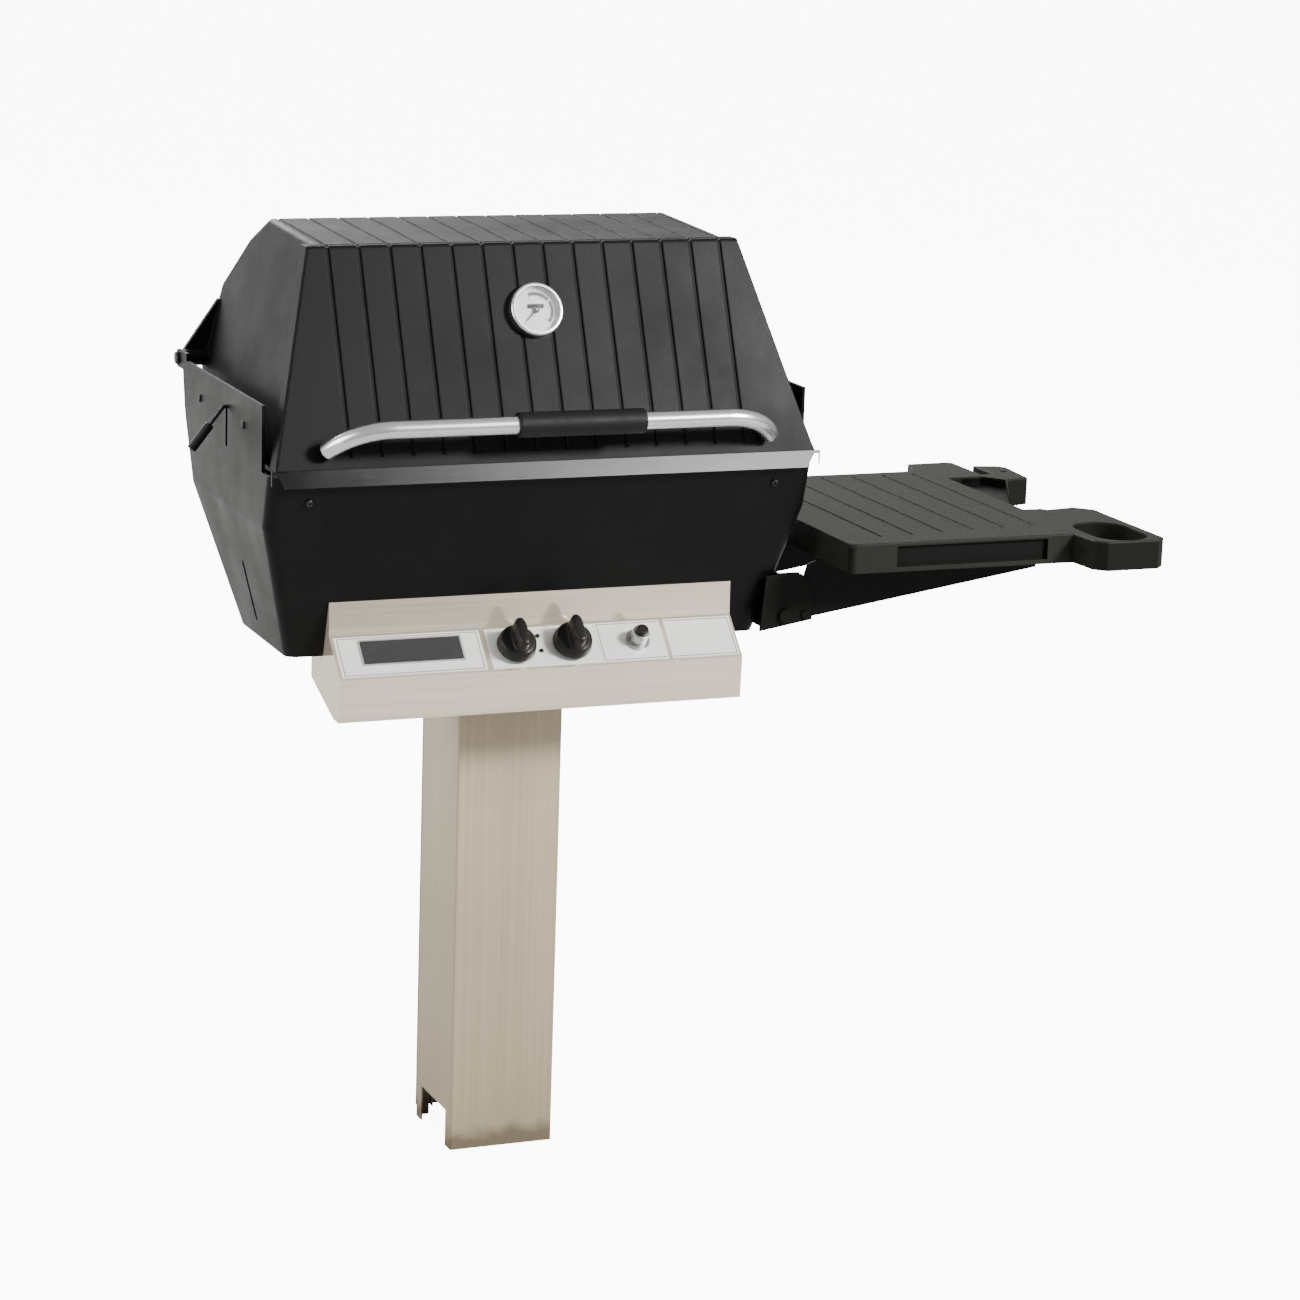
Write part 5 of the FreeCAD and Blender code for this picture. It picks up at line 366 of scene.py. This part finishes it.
# The handle's grip: a black rubber sleeve pushed over the tube before its ends are bent, with a
# coarser and duller skin than the knobs have.
rubber_dark, rubber_light = (0.0042, 0.0042, 0.0044, 1), (0.0075, 0.0074, 0.0076, 1)
grip_sleeve, tree, shader, spot = finish("grip_sleeve", Specular_IOR_Level=0.22)
skin = add(tree, "TexVoronoi", Vector=spot, Scale=1100.0, feature="SMOOTH_F1")["Distance"]
rubbed = add(tree, "TexNoise", Vector=spot, Scale=45.0, Detail=3.0)["Fac"]
lay_on(tree, shader,
       Base_Color=mixed(tree, rubbed, rubber_dark, rubber_light),
       Roughness=spread(tree, rubbed, 0.35, 0.7, 0.60, 0.46),
       Normal=add(tree, "Bump", Height=skin, Distance=0.00006, Strength=0.7)["Normal"])
dress(grip_sleeve, "handle_grip")

# The thermometer: a steel cup screwed through the hood, with a white enamelled dial, a grey pointer
# on a bimetal stem and a pressed-in glass. The dial's scale is printed in black and grey, with plain
# numbers, and the bar above the middle is a bare printed field.
front_low, front_high = (-0.194, 0.931), (-0.084, 1.184)  # y and z of the hood's sloping front
dial_height, dial_level, ink_gap, ink_thickness = 1.104, 0.0031, 0.00003, 0.00004
slope = math.atan2(front_high[1] - front_low[1], front_high[0] - front_low[0])
dial_deep = front_low[0] + (dial_height - front_low[1]) / math.tan(slope)
dial_centre = np.array((0.0, dial_deep, dial_height))
dial_right, dial_up = np.array((1.0, 0.0, 0.0)), np.array((0.0, math.cos(slope), math.sin(slope)))
dial_out = np.array((0.0, -math.sin(slope), math.cos(slope)))
print_level = dial_level + ink_gap
scale_start, scale_end, number_step, light_half, heavy_half = 225, -45, 54, 0.4, 0.7  # degrees
mark_count, heavy_every, number_count = 31, 5, 6
light_mark, heavy_mark, mark_outer, ring_outer = 0.0255, 0.0243, 0.0272, 0.0276
bar_half, bar_low, bar_high = 0.0112, 0.0022, 0.0080
wide_zone, narrow_zone = (112, 36, 0.0186, 0.0234), (30, -44, 0.0194, 0.0232)
number_size, number_reach = 0.0052, 0.0166


def on_plate(across, along, level, centre, right_way, up_way, out_way):
    """Carry flat drawing places onto a sloping plate: centre + across right + along up + level out."""
    flat = np.stack(np.broadcast_arrays(across, along, level), axis=-1)
    return centre + flat @ np.stack((right_way, up_way, out_way))


def printed(name, places, faces, body, material):
    """Make a thin printed layer from its places and faces, riding on a body."""
    mesh = bpy.data.meshes.new(name)
    mesh.from_pydata(np.asarray(places).reshape(-1, 3).tolist(), [], np.asarray(faces).tolist())
    layer = bpy.data.objects.new(name, mesh)
    bpy.context.scene.collection.objects.link(layer)
    thickness = layer.modifiers.new("ink", "SOLIDIFY")
    thickness.thickness, thickness.offset = ink_thickness, 1.0
    mesh.materials.append(material)
    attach(layer, body)
    return layer


def arc_band(start, end, inner, outer, steps=48):
    """A flat ring sector: places r (cos a, sin a), r being inner and outer, and a from start to end
    degrees."""
    angle = np.radians(np.linspace(start, end, steps))[:, None]
    radius = np.array((inner, outer))[None, :]
    first = 2 * np.arange(steps - 1)[:, None]
    return radius * np.cos(angle), radius * np.sin(angle), first + np.array((0, 1, 3, 2))


def drawn_together(parts):
    """Put several flat drawings, each of places across, places along and faces, into one."""
    across, along, faces, count = [], [], [], 0
    for part_across, part_along, part_faces in parts:
        across.append(np.ravel(part_across))
        along.append(np.ravel(part_along))
        faces.append(np.asarray(part_faces) + count)
        count += across[-1].size
    return np.concatenate(across), np.concatenate(along), np.concatenate(faces)


def facing_out(across, along, faces):
    """Turn round the faces that run clockwise, found by the sign of their doubled area."""
    x, y = across[faces], along[faces]
    area = np.sum(x * np.roll(y, -1, axis=1) - y * np.roll(x, -1, axis=1), axis=1)
    return np.where(area[:, None] < 0, faces[:, ::-1], faces)


def printing_ink(name, dark, light):
    """A matt ink, slightly blotted between two shades."""
    material, tree, shader, spot = finish(name, Specular_IOR_Level=0.3)
    blots = add(tree, "TexNoise", Vector=spot, Scale=2500.0, Detail=2.0)["Fac"]
    lay_on(tree, shader, Base_Color=mixed(tree, blots, dark, light),
           Roughness=spread(tree, blots, 0.3, 0.7, 0.35, 0.5))
    return material


ticks = []
for order, turned in enumerate(np.linspace(scale_start, scale_end, mark_count)):
    half, inner = (heavy_half, heavy_mark) if order % heavy_every == 0 else (light_half, light_mark)
    ticks.append(arc_band(turned - half, turned + half, inner, mark_outer, 3))
ring = arc_band(scale_start, scale_end, mark_outer, ring_outer)
bar = (np.array((-bar_half, bar_half, bar_half, -bar_half)),
       np.array((bar_low, bar_low, bar_high, bar_high)), np.array([[0, 1, 2, 3]]))
black_ink = printing_ink("black_ink", (0.030, 0.030, 0.032, 1), (0.075, 0.075, 0.078, 1))
grey_ink = printing_ink("grey_ink", (0.13, 0.13, 0.135, 1), (0.22, 0.22, 0.225, 1))
for name, parts, ink in (("dial_marks", ticks + [ring, bar], black_ink),
                         ("dial_zones", [arc_band(*wide_zone), arc_band(*narrow_zone)], grey_ink)):
    across, along, faces = drawn_together(parts)
    places = on_plate(across, along, print_level, dial_centre, dial_right, dial_up, dial_out)
    printed(name, places, facing_out(across, along, faces), "lid", ink)

numbers = []
for order in range(number_count):
    letters = bpy.data.curves.new("number", "FONT")
    letters.body, letters.size = str(order + 1), number_size
    letters.align_x, letters.align_y = "CENTER", "CENTER"
    letters.resolution_u = 3
    holder = bpy.data.objects.new("number", letters)
    bpy.context.scene.collection.objects.link(holder)
    flat_number = bpy.data.meshes.new_from_object(holder)
    bpy.data.objects.remove(holder)
    angle = math.radians(scale_start - order * number_step)
    where = np.zeros(len(flat_number.vertices) * 3)
    flat_number.vertices.foreach_get("co", where)
    where = where.reshape(-1, 3) + (number_reach * math.cos(angle), number_reach * math.sin(angle), 0)
    flat_number.calc_loop_triangles()
    triangles = np.zeros(len(flat_number.loop_triangles) * 3, int)
    flat_number.loop_triangles.foreach_get("vertices", triangles)
    numbers.append((where[:, 0], where[:, 1], triangles.reshape(-1, 3)))
across, along, faces = drawn_together(numbers)
printed("dial_numbers", on_plate(across, along, print_level, dial_centre, dial_right, dial_up, dial_out),
        facing_out(across, along, faces), "lid", black_ink)

enamel_white, enamel_aged = (0.95, 0.95, 0.95, 1), (0.86, 0.86, 0.84, 1)
dial_face, tree, shader, spot = finish("dial_face", Coat_Weight=0.25)
speck = add(tree, "TexNoise", Vector=spot, Scale=900.0, Detail=3.0)["Fac"]
aged = add(tree, "TexNoise", Vector=spot, Scale=55.0, Detail=3.0)["Fac"]
lay_on(tree, shader, Base_Color=mixed(tree, spread(tree, aged, 0.4, 0.8), enamel_white, enamel_aged),
       Roughness=spread(tree, speck, 0.3, 0.7, 0.28, 0.42))
dress(dial_face, "thermo_dial")
pointer_dark, pointer_light = (0.10, 0.10, 0.105, 1), (0.17, 0.17, 0.175, 1)
pointer_paint, tree, shader, spot = finish("pointer_paint", Specular_IOR_Level=0.4)
speck = add(tree, "TexNoise", Vector=spot, Scale=1500.0, Detail=2.0)["Fac"]
lay_on(tree, shader, Base_Color=mixed(tree, speck, pointer_dark, pointer_light),
       Roughness=spread(tree, speck, 0.3, 0.7, 0.62, 0.8))
dress(pointer_paint, "thermo_needle")
glass_clear, glass_smeared = (0.985, 0.99, 0.99, 1), (0.96, 0.97, 0.97, 1)
clear_glass, tree, shader, spot = finish("clear_glass", Transmission_Weight=1.0, IOR=1.45, Alpha=0.35)
smear = add(tree, "TexNoise", Vector=spot, Scale=90.0, Detail=4.0)["Fac"]
lay_on(tree, shader, Roughness=spread(tree, smear, 0.45, 0.8, 0.0, 0.06),
       Base_Color=mixed(tree, smear, glass_clear, glass_smeared))
dress(clear_glass, "thermo_glass")

# The brass parts: the thermometer's nut inside the lid, and the two gas valves with their plugs and
# stems, all turned on a lathe, whose fine rings they still show.
brass_dark, brass_light = (0.50, 0.33, 0.12, 1), (0.72, 0.52, 0.22, 1)
brass, tree, shader, spot = finish("brass", Metallic=1.0)
lathe_lines = add(tree, "Group", node_tree=brushing, Place=spot, Squeeze=(500.0, 500.0, 500.0),
                  Depth=0.00001)
lay_on(tree, shader,
       Base_Color=mixed(tree, lathe_lines["Cloud"], brass_dark, brass_light),
       Roughness=spread(tree, lathe_lines["Streak"], 0.3, 0.7, 0.22, 0.4), Normal=lathe_lines["Normal"])
dress(brass, "thermo_nut", "gas_valves", "valve_plug_left", "valve_stem_left", "valve_plug_right",
      "valve_stem_right")

# The control panel: one sheet of brushed stainless steel, grained lengthways, folded round the front
# under the firebox and screwed up into its floor, and polished enough to mirror the knobs. The clips,
# the rack's legs and uprights and the sleeve bolts are made of the same steel.
panel_dark, panel_light = (0.68, 0.595, 0.46, 1), (0.87, 0.785, 0.635, 1)
panel_cloud = (0.50, 0.47, 0.42, 1)
stainless, tree, shader, spot = finish("stainless", Metallic=0.62)
grain = add(tree, "Group", node_tree=brushing, Place=spot, Squeeze=(4.0, 1300.0, 1300.0), Depth=0.000008)
steel_tone = mixed(tree, spread(tree, grain["Streak"], 0.35, 0.65), panel_dark, panel_light)
lay_on(tree, shader,
       Base_Color=mixed(tree, spread(tree, grain["Cloud"], 0.5, 0.8, 0.0, 0.3), steel_tone, panel_cloud),
       Roughness=spread(tree, grain["Streak"], 0.3, 0.7, 0.08, 0.18), Normal=grain["Normal"])
dress(stainless, "control_panel", "grid_clips", "rack_uprights", "rack_legs", "hinge_clips",
      "sleeve_bolts")

# The small dark steel pieces: black plated screws, bolts, rivets and hinge pins, and the shutter's
# wire lever, with the plating worn a little lighter in spots.
plated_dark, plated_worn = (0.035, 0.034, 0.033, 1), (0.13, 0.125, 0.12, 1)
black_screw, tree, shader, spot = finish("black_screw", Metallic=1.0)
worn = add(tree, "TexNoise", Vector=spot, Scale=420.0, Detail=3.0)["Fac"]
lay_on(tree, shader, Base_Color=mixed(tree, spread(tree, worn, 0.5, 0.75), plated_dark, plated_worn),
       Roughness=spread(tree, worn, 0.3, 0.7, 0.5, 0.32))
dress(black_screw, "small_screws", "label_screws", "rack_bolts", "shutter_lever", "shutter_rivets",
      "hinge_pins")

# The panel's foil strips and the plate: satin silver foil stuck on the sloping face, edged with a thin
# grey printed line, and a dark anodised plate with a bright bevelled rim. All are left bare.
foil_dark, foil_light = (0.83, 0.825, 0.815, 1), (0.93, 0.925, 0.915, 1)
label_foil, tree, shader, spot = finish("label_foil", Metallic=0.25)
grain = add(tree, "Group", node_tree=brushing, Place=spot, Squeeze=(14.0, 900.0, 900.0), Depth=0.000006)
lay_on(tree, shader,
       Base_Color=mixed(tree, grain["Streak"], foil_dark, foil_light),
       Roughness=spread(tree, grain["Cloud"], 0.3, 0.7, 0.30, 0.42), Normal=grain["Normal"])
dress(label_foil, "panel_label")

face_low, face_high = (-0.188, 0.668), (-0.1415, 0.713)  # y and z of the sloping face's two edges
face_slope = math.atan2(face_high[1] - face_low[1], face_high[0] - face_low[0])
face_centre = np.array((0.0, (face_high[0] + face_low[0]) / 2, (face_high[1] + face_low[1]) / 2))
face_right = np.array((1.0, 0.0, 0.0))
face_up = np.array((0.0, math.cos(face_slope), math.sin(face_slope)))
face_out = np.array((0.0, -math.sin(face_slope), math.cos(face_slope)))
foil_level, line_width = 0.00067, 0.0011
strip_low, strip_high = -26.5, 26.5  # mm from the middle of the face
left_strip, middle_strip, right_strip = (-258, -78), (82, 164), (175, 260)


def line_between(start, end, width):
    """A flat strip along a straight line between two places in mm: both ends are moved by half the width
    to each side, and out by it."""
    start, end = np.array(start) / 1000, np.array(end) / 1000
    along = (end - start) / np.linalg.norm(end - start) * width / 2
    aside = np.array((-along[1], along[0]))
    corners = np.array((start - along - aside, end + along - aside, end + along + aside,
                        start - along + aside))
    return corners[:, 0], corners[:, 1], np.array([[0, 1, 2, 3]])


edge_lines = [((strip[0], edge), (strip[1], edge)) for strip in (left_strip, middle_strip, right_strip)
              for edge in (strip_low, strip_high)]
edge_lines += [((end, strip_low), (end, strip_high))
               for end in (*left_strip, middle_strip[0], right_strip[1])]
across, along, faces = drawn_together([line_between(start, end, line_width)
                                       for start, end in edge_lines])
printed("label_lines", on_plate(across, along, foil_level, face_centre, face_right, face_up, face_out),
        facing_out(across, along, faces), "stand", grey_ink)

plate_middle, plate_raised, plate_half_long, plate_half_high = -0.166, 0.005, 0.0645, 0.0166
plate_black, plate_etched = (0.016, 0.016, 0.017, 1), (0.055, 0.055, 0.056, 1)
rim_bright = (0.75, 0.75, 0.75, 1)
plate_dark, tree, shader, spot = finish("plate_dark", Specular_IOR_Level=0.5)
sideways, deep, high = add(tree, "SeparateXYZ", Vector=spot)[:3]
off_middle = worked(tree, "ABSOLUTE", worked(tree, "ADD", sideways, -plate_middle))
end_rim = worked(tree, "GREATER_THAN", off_middle, plate_half_long)
from_deep = worked(tree, "SUBTRACT", deep, float(face_centre[1]))
from_high = worked(tree, "SUBTRACT", high, float(face_centre[2]))
up_face = worked(tree, "ADD", worked(tree, "MULTIPLY", from_deep, float(face_up[1])),
                 worked(tree, "MULTIPLY", from_high, float(face_up[2])))
off_line = worked(tree, "ABSOLUTE", worked(tree, "SUBTRACT", up_face, plate_raised))
side_rim = worked(tree, "GREATER_THAN", off_line, plate_half_high)
rim = worked(tree, "MAXIMUM", end_rim, side_rim)
etched = add(tree, "TexNoise", Vector=spot, Scale=700.0, Detail=3.0)["Fac"]
lay_on(tree, shader,
       Base_Color=mixed(tree, rim, mixed(tree, etched, plate_black, plate_etched), rim_bright),
       Metallic=spread(tree, rim, 0.0, 1.0, 0.3, 1.0),
       Roughness=spread(tree, etched, 0.3, 0.7, 0.32, 0.5),
       Normal=add(tree, "Bump", Height=etched, Distance=0.00003, Strength=0.5)["Normal"])
dress(plate_dark, "nameplate")

# The two knobs: tall caps moulded in black phenolic, with a round skirt and a tapered wing to hold.
# Each is a push fit on its valve's stem, and stands clear of the panel so that it can be pressed in
# before it turns.
knob_lift, left_place, right_place, knob_steps = 0.0046, -0.032, 0.042, 64
skirt_rings = ((0.0, 8.0, 8.0, 2.0), (0.0, 24.4, 24.4, 2.0), (0.8, 25.4, 25.4, 2.0),
               (4.0, 25.2, 25.2, 2.0), (11.0, 23.8, 23.8, 2.0), (14.2, 22.6, 22.6, 2.0),
               (15.4, 21.0, 19.5, 2.0))
wing_rings = ((15.9, 20.6, 11.0, 2.4), (17.0, 20.4, 9.0, 2.8), (20.0, 20.3, 8.6, 3.0),
              (33.0, 20.2, 7.6, 3.2), (35.6, 19.4, 6.8, 3.0), (36.6, 16.8, 4.8, 2.6),
              (36.8, 8.0, 2.0, 2.0))


def wing_knob(name, body, place):
    """A closed cap made of rings about its axis, each given by its height, half length and half width in
    mm, and a power n. In each the distance from the axis is that of a rounded oblong,
    ((sin a / long)^n + (cos a / wide)^n)^(-1/n), a circle in the skirt and narrow in the wing."""
    rings = np.array(skirt_rings + wing_rings)
    height, long, wide, power = rings.T[:, :, None]
    angle = np.linspace(0, 2 * np.pi, knob_steps, endpoint=False)[None, :]
    oblong = np.abs(np.sin(angle) / long) ** power + np.abs(np.cos(angle) / wide) ** power
    reach = oblong ** (-1 / power)
    across, along = reach * np.cos(angle) / 1000, reach * np.sin(angle) / 1000
    level = np.broadcast_to(knob_lift + height / 1000, across.shape)
    ends = np.array(((0, 0, knob_lift), (0, 0, level[-1, 0])))
    flat = np.concatenate((np.stack((across, along, level), axis=-1).reshape(-1, 3), ends))
    places = on_plate(flat[:, 0] + place, flat[:, 1], flat[:, 2], face_centre, face_right, face_up,
                      face_out)
    turned = np.arange(knob_steps)
    onward = (turned + 1) % knob_steps
    ring = np.arange(len(rings) - 1)[:, None] * knob_steps
    above = ring + knob_steps
    walls = np.stack((ring + turned, ring + onward, above + onward, above + turned), axis=-1)
    last = (len(rings) - 1) * knob_steps
    floor_fan = np.stack((np.full(knob_steps, len(flat) - 2), onward, turned), axis=-1)
    top_fan = np.stack((np.full(knob_steps, len(flat) - 1), last + turned, last + onward), axis=-1)
    mesh = bpy.data.meshes.new(name)
    faces = walls.reshape(-1, 4).tolist() + floor_fan.tolist() + top_fan.tolist()
    mesh.from_pydata(places.tolist(), [], faces)
    mesh.shade_smooth()
    mesh.materials.append(black_plastic)
    cap = bpy.data.objects.new(name, mesh)
    bpy.context.scene.collection.objects.link(cap)
    rounding = cap.modifiers.new("rounding", "SUBSURF")
    rounding.levels = rounding.render_levels = 1
    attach(cap, body)
    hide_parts(body)
    return cap


for side, place in (("left", left_place), ("right", right_place)):
    wing_knob("%s_knob_cap" % side, "knob_%s" % side, place)

# The gas pipe under the panel and the igniter's barrel: plated steel tube. The pipe's inlet stub is
# turned down to meet the hose, two small brackets hold it, and the barrel is screwed through the panel.
pipe_dark, pipe_light = (0.36, 0.36, 0.36, 1), (0.52, 0.52, 0.51, 1)
pipe_steel, tree, shader, spot = finish("pipe_steel", Metallic=1.0)
grain = add(tree, "Group", node_tree=brushing, Place=spot, Squeeze=(10.0, 700.0, 700.0), Depth=0.00001)
lay_on(tree, shader,
       Base_Color=mixed(tree, grain["Cloud"], pipe_dark, pipe_light),
       Roughness=spread(tree, grain["Streak"], 0.3, 0.7, 0.3, 0.48), Normal=grain["Normal"])
dress(pipe_steel, "gas_manifold", "igniter_barrel")

# The burner and the rack over it: pressed stainless sheet that the flame has tinted straw and blue
# round the ports and greyed elsewhere.
straw, plum, blue = (0.42, 0.30, 0.15, 1), (0.26, 0.15, 0.13, 1), (0.12, 0.13, 0.21, 1)
cool_grey, burnt_grey, ash_grey = (0.40, 0.37, 0.33, 1), (0.16, 0.13, 0.12, 1), (0.22, 0.21, 0.20, 1)
burner_steel, tree, shader, spot = finish("burner_steel", Metallic=1.0)
hot = add(tree, "TexNoise", Vector=spot, Scale=14.0, Detail=4.0, Roughness=0.6)["Fac"]
ash = add(tree, "TexNoise", Vector=spot, Scale=130.0, Detail=3.0)["Fac"]
tint = add(tree, "ValToRGB", Fac=spread(tree, hot, 0.3, 0.7))
stops = tint["Color"].node.color_ramp.elements
stops[0].position, stops[0].color = 0.15, cool_grey
stops[1].position, stops[1].color = 1.0, burnt_grey
for where, colour in ((0.45, straw), (0.62, plum), (0.78, blue)):
    stops.new(where).color = colour
lay_on(tree, shader,
       Base_Color=mixed(tree, spread(tree, ash, 0.55, 0.75, 0.0, 0.6), tint["Color"], ash_grey),
       Roughness=spread(tree, ash, 0.3, 0.7, 0.34, 0.6),
       Normal=add(tree, "Bump", Height=ash, Distance=0.00005, Strength=0.6)["Normal"])
dress(burner_steel, "burner", "briquet_rack")

# The sixty ceramic blocks: pressed and fired porous clay, pale where clean and sooted by drips. They
# lie loose in rows on their rack over the flames.
clay_dark, clay_light = (0.46, 0.39, 0.31, 1), (0.60, 0.54, 0.45, 1)
soot_shade = (0.075, 0.062, 0.052, 1)
ceramic, tree, shader, spot = finish("ceramic", Specular_IOR_Level=0.25)
pores = add(tree, "TexVoronoi", Vector=spot, Scale=420.0)["Distance"]
soot = add(tree, "TexNoise", Vector=spot, Scale=26.0, Detail=5.0, Roughness=0.65)["Fac"]
clay = add(tree, "TexNoise", Vector=spot, Scale=260.0, Detail=3.0)["Fac"]
clay_tone = mixed(tree, clay, clay_dark, clay_light)
lay_on(tree, shader, Base_Color=mixed(tree, spread(tree, soot, 0.45, 0.68), clay_tone, soot_shade),
       Roughness=spread(tree, pores, 0.0, 0.6, 0.95, 0.8),
       Normal=add(tree, "Bump", Height=pores, Distance=0.0006, Strength=0.8)["Normal"])
dress(ceramic, "ceramic_briquets")

# The cooking grids: cast iron bars coated in matt black porcelain enamel, worn brown along their
# tops. They rest on the firebox's ledges, held by two clips.
enamel_black, seared_brown = (0.012, 0.012, 0.013, 1), (0.050, 0.034, 0.024, 1)
porcelain, tree, shader, spot = finish("porcelain", Coat_Weight=0.3)
sand = add(tree, "Group", node_tree=casting, Place=spot, Pebble=420.0, Depth=0.0002)
seared = add(tree, "TexNoise", Vector=spot, Scale=16.0, Detail=5.0, Roughness=0.7)["Fac"]
lay_on(tree, shader, Base_Color=mixed(tree, spread(tree, seared, 0.5, 0.75), enamel_black, seared_brown),
       Roughness=spread(tree, sand["Mottle"], 0.3, 0.7, 0.32, 0.5), Normal=sand["Normal"])
dress(porcelain, "cooking_grids")

# The warming rack: chromed wire welded in end plates, browned by smoke in places. It hangs in the
# hood and is carried on two swinging legs.
wire_bright, wire_browned = (0.50, 0.50, 0.50, 1), (0.38, 0.30, 0.20, 1)
rack_wire, tree, shader, spot = finish("rack_wire", Metallic=1.0)
browned = add(tree, "TexNoise", Vector=spot, Scale=18.0, Detail=4.0, Roughness=0.6)["Fac"]
lay_on(tree, shader, Base_Color=mixed(tree, spread(tree, browned, 0.5, 0.8), wire_bright, wire_browned),
       Roughness=spread(tree, browned, 0.3, 0.8, 0.14, 0.42))
dress(rack_wire, "warming_rack")

# The spark electrode: a wire in a glazed white ceramic sleeve, crazed and stained by the heat, and
# pinned beside the burner.
glaze_white, glaze_stained = (0.80, 0.79, 0.75, 1), (0.52, 0.48, 0.42, 1)
white_ceramic, tree, shader, spot = finish("white_ceramic", Coat_Weight=0.6)
crazed = add(tree, "TexNoise", Vector=spot, Scale=240.0, Detail=4.0)["Fac"]
lay_on(tree, shader,
       Base_Color=mixed(tree, spread(tree, crazed, 0.55, 0.75), glaze_white, glaze_stained),
       Roughness=spread(tree, crazed, 0.3, 0.7, 0.18, 0.35))
dress(white_ceramic, "spark_electrode")

# The side shelf: a board moulded in dark olive-grey resin with a leathery skin, scuffed along its
# length. Painted shade darkens the long recess behind its front rim and the wall of the cup ring.
resin_dark, resin_light = (0.0112, 0.0113, 0.0090, 1), (0.0188, 0.0188, 0.0152, 1)
# The second colour is the painted shade of the recess and the cup ring's wall.
scuff_shade, painted_recess_shade = (0.045, 0.045, 0.040, 1), (0.0030, 0.0030, 0.0028, 1)
recess_front, recess_back, recess_top = (-0.2375, -0.2350), (-0.2280, -0.2300), 0.8112
ring_from, ring_under = (0.695, 0.712), (0.8145, 0.8125)
shelf_resin, tree, shader, spot = finish("shelf_resin", Specular_IOR_Level=0.11)
skin = add(tree, "TexVoronoi", Vector=spot, Scale=620.0, feature="SMOOTH_F1")["Distance"]
faded = add(tree, "TexNoise", Vector=spot, Scale=5.0, Detail=4.0, Roughness=0.6)["Fac"]
scuffs = add(tree, "TexNoise", Vector=add(tree, "Mapping", Vector=spot, Scale=(14.0, 120.0, 120.0))[0],
             Scale=1.0, Detail=4.0, Roughness=0.7)["Fac"]
eased = add(tree, "Bevel", samples=4, Radius=0.0010)[0]
resin = mixed(tree, faded, resin_dark, resin_light)
across, deep, high = add(tree, "SeparateXYZ", Vector=spot)[:3]
# Painted shade in the recess behind the front rim and on the cup ring's wall.
recess_shade = worked(tree, "MULTIPLY", spread(tree, deep, *recess_front), spread(tree, deep, *recess_back))
recess_shade = worked(tree, "MULTIPLY", recess_shade, worked(tree, "LESS_THAN", high, recess_top))
ring_shade = worked(tree, "MULTIPLY", spread(tree, across, *ring_from), spread(tree, high, *ring_under))
painted_shade_mask = worked(tree, "MAXIMUM", recess_shade, worked(tree, "MULTIPLY", ring_shade, 0.8))
resin = mixed(tree, spread(tree, scuffs, 0.62, 0.8, 0.0, 0.35), resin, scuff_shade)
lay_on(tree, shader,
       Base_Color=mixed(tree, painted_shade_mask, resin, painted_recess_shade),
       Roughness=spread(tree, skin, 0.0, 0.6, 0.42, 0.58),
       Normal=add(tree, "Bump", Height=skin, Distance=0.00012, Strength=0.7, Normal=eased)["Normal"])
dress(shelf_resin, "shelf_board")

# The shelf's arms and brackets: pressed steel in black powder paint, faintly chalked by the sun. The
# arms fold down on pivots in the brackets, which are bolted to the firebox.
paint_dark, paint_chalked = (0.0026, 0.0025, 0.0021, 1), (0.0054, 0.0052, 0.0043, 1)
arm_paint, tree, shader, spot = finish("arm_paint", Specular_IOR_Level=0.11)
powder = add(tree, "TexNoise", Vector=spot, Scale=850.0, Detail=2.0)["Fac"]
chalk = add(tree, "TexNoise", Vector=spot, Scale=12.0, Detail=4.0, Roughness=0.6)["Fac"]
eased = add(tree, "Bevel", samples=4, Radius=0.0008)[0]
lay_on(tree, shader, Base_Color=mixed(tree, chalk, paint_dark, paint_chalked),
       Roughness=spread(tree, chalk, 0.3, 0.7, 0.40, 0.54),
       Normal=add(tree, "Bump", Height=powder, Distance=0.00008, Strength=0.8, Normal=eased)["Normal"])
dress(arm_paint, "shelf_arms", "shelf_brackets", "shelf_pivots", "shelf_stops", "shelf_screws")
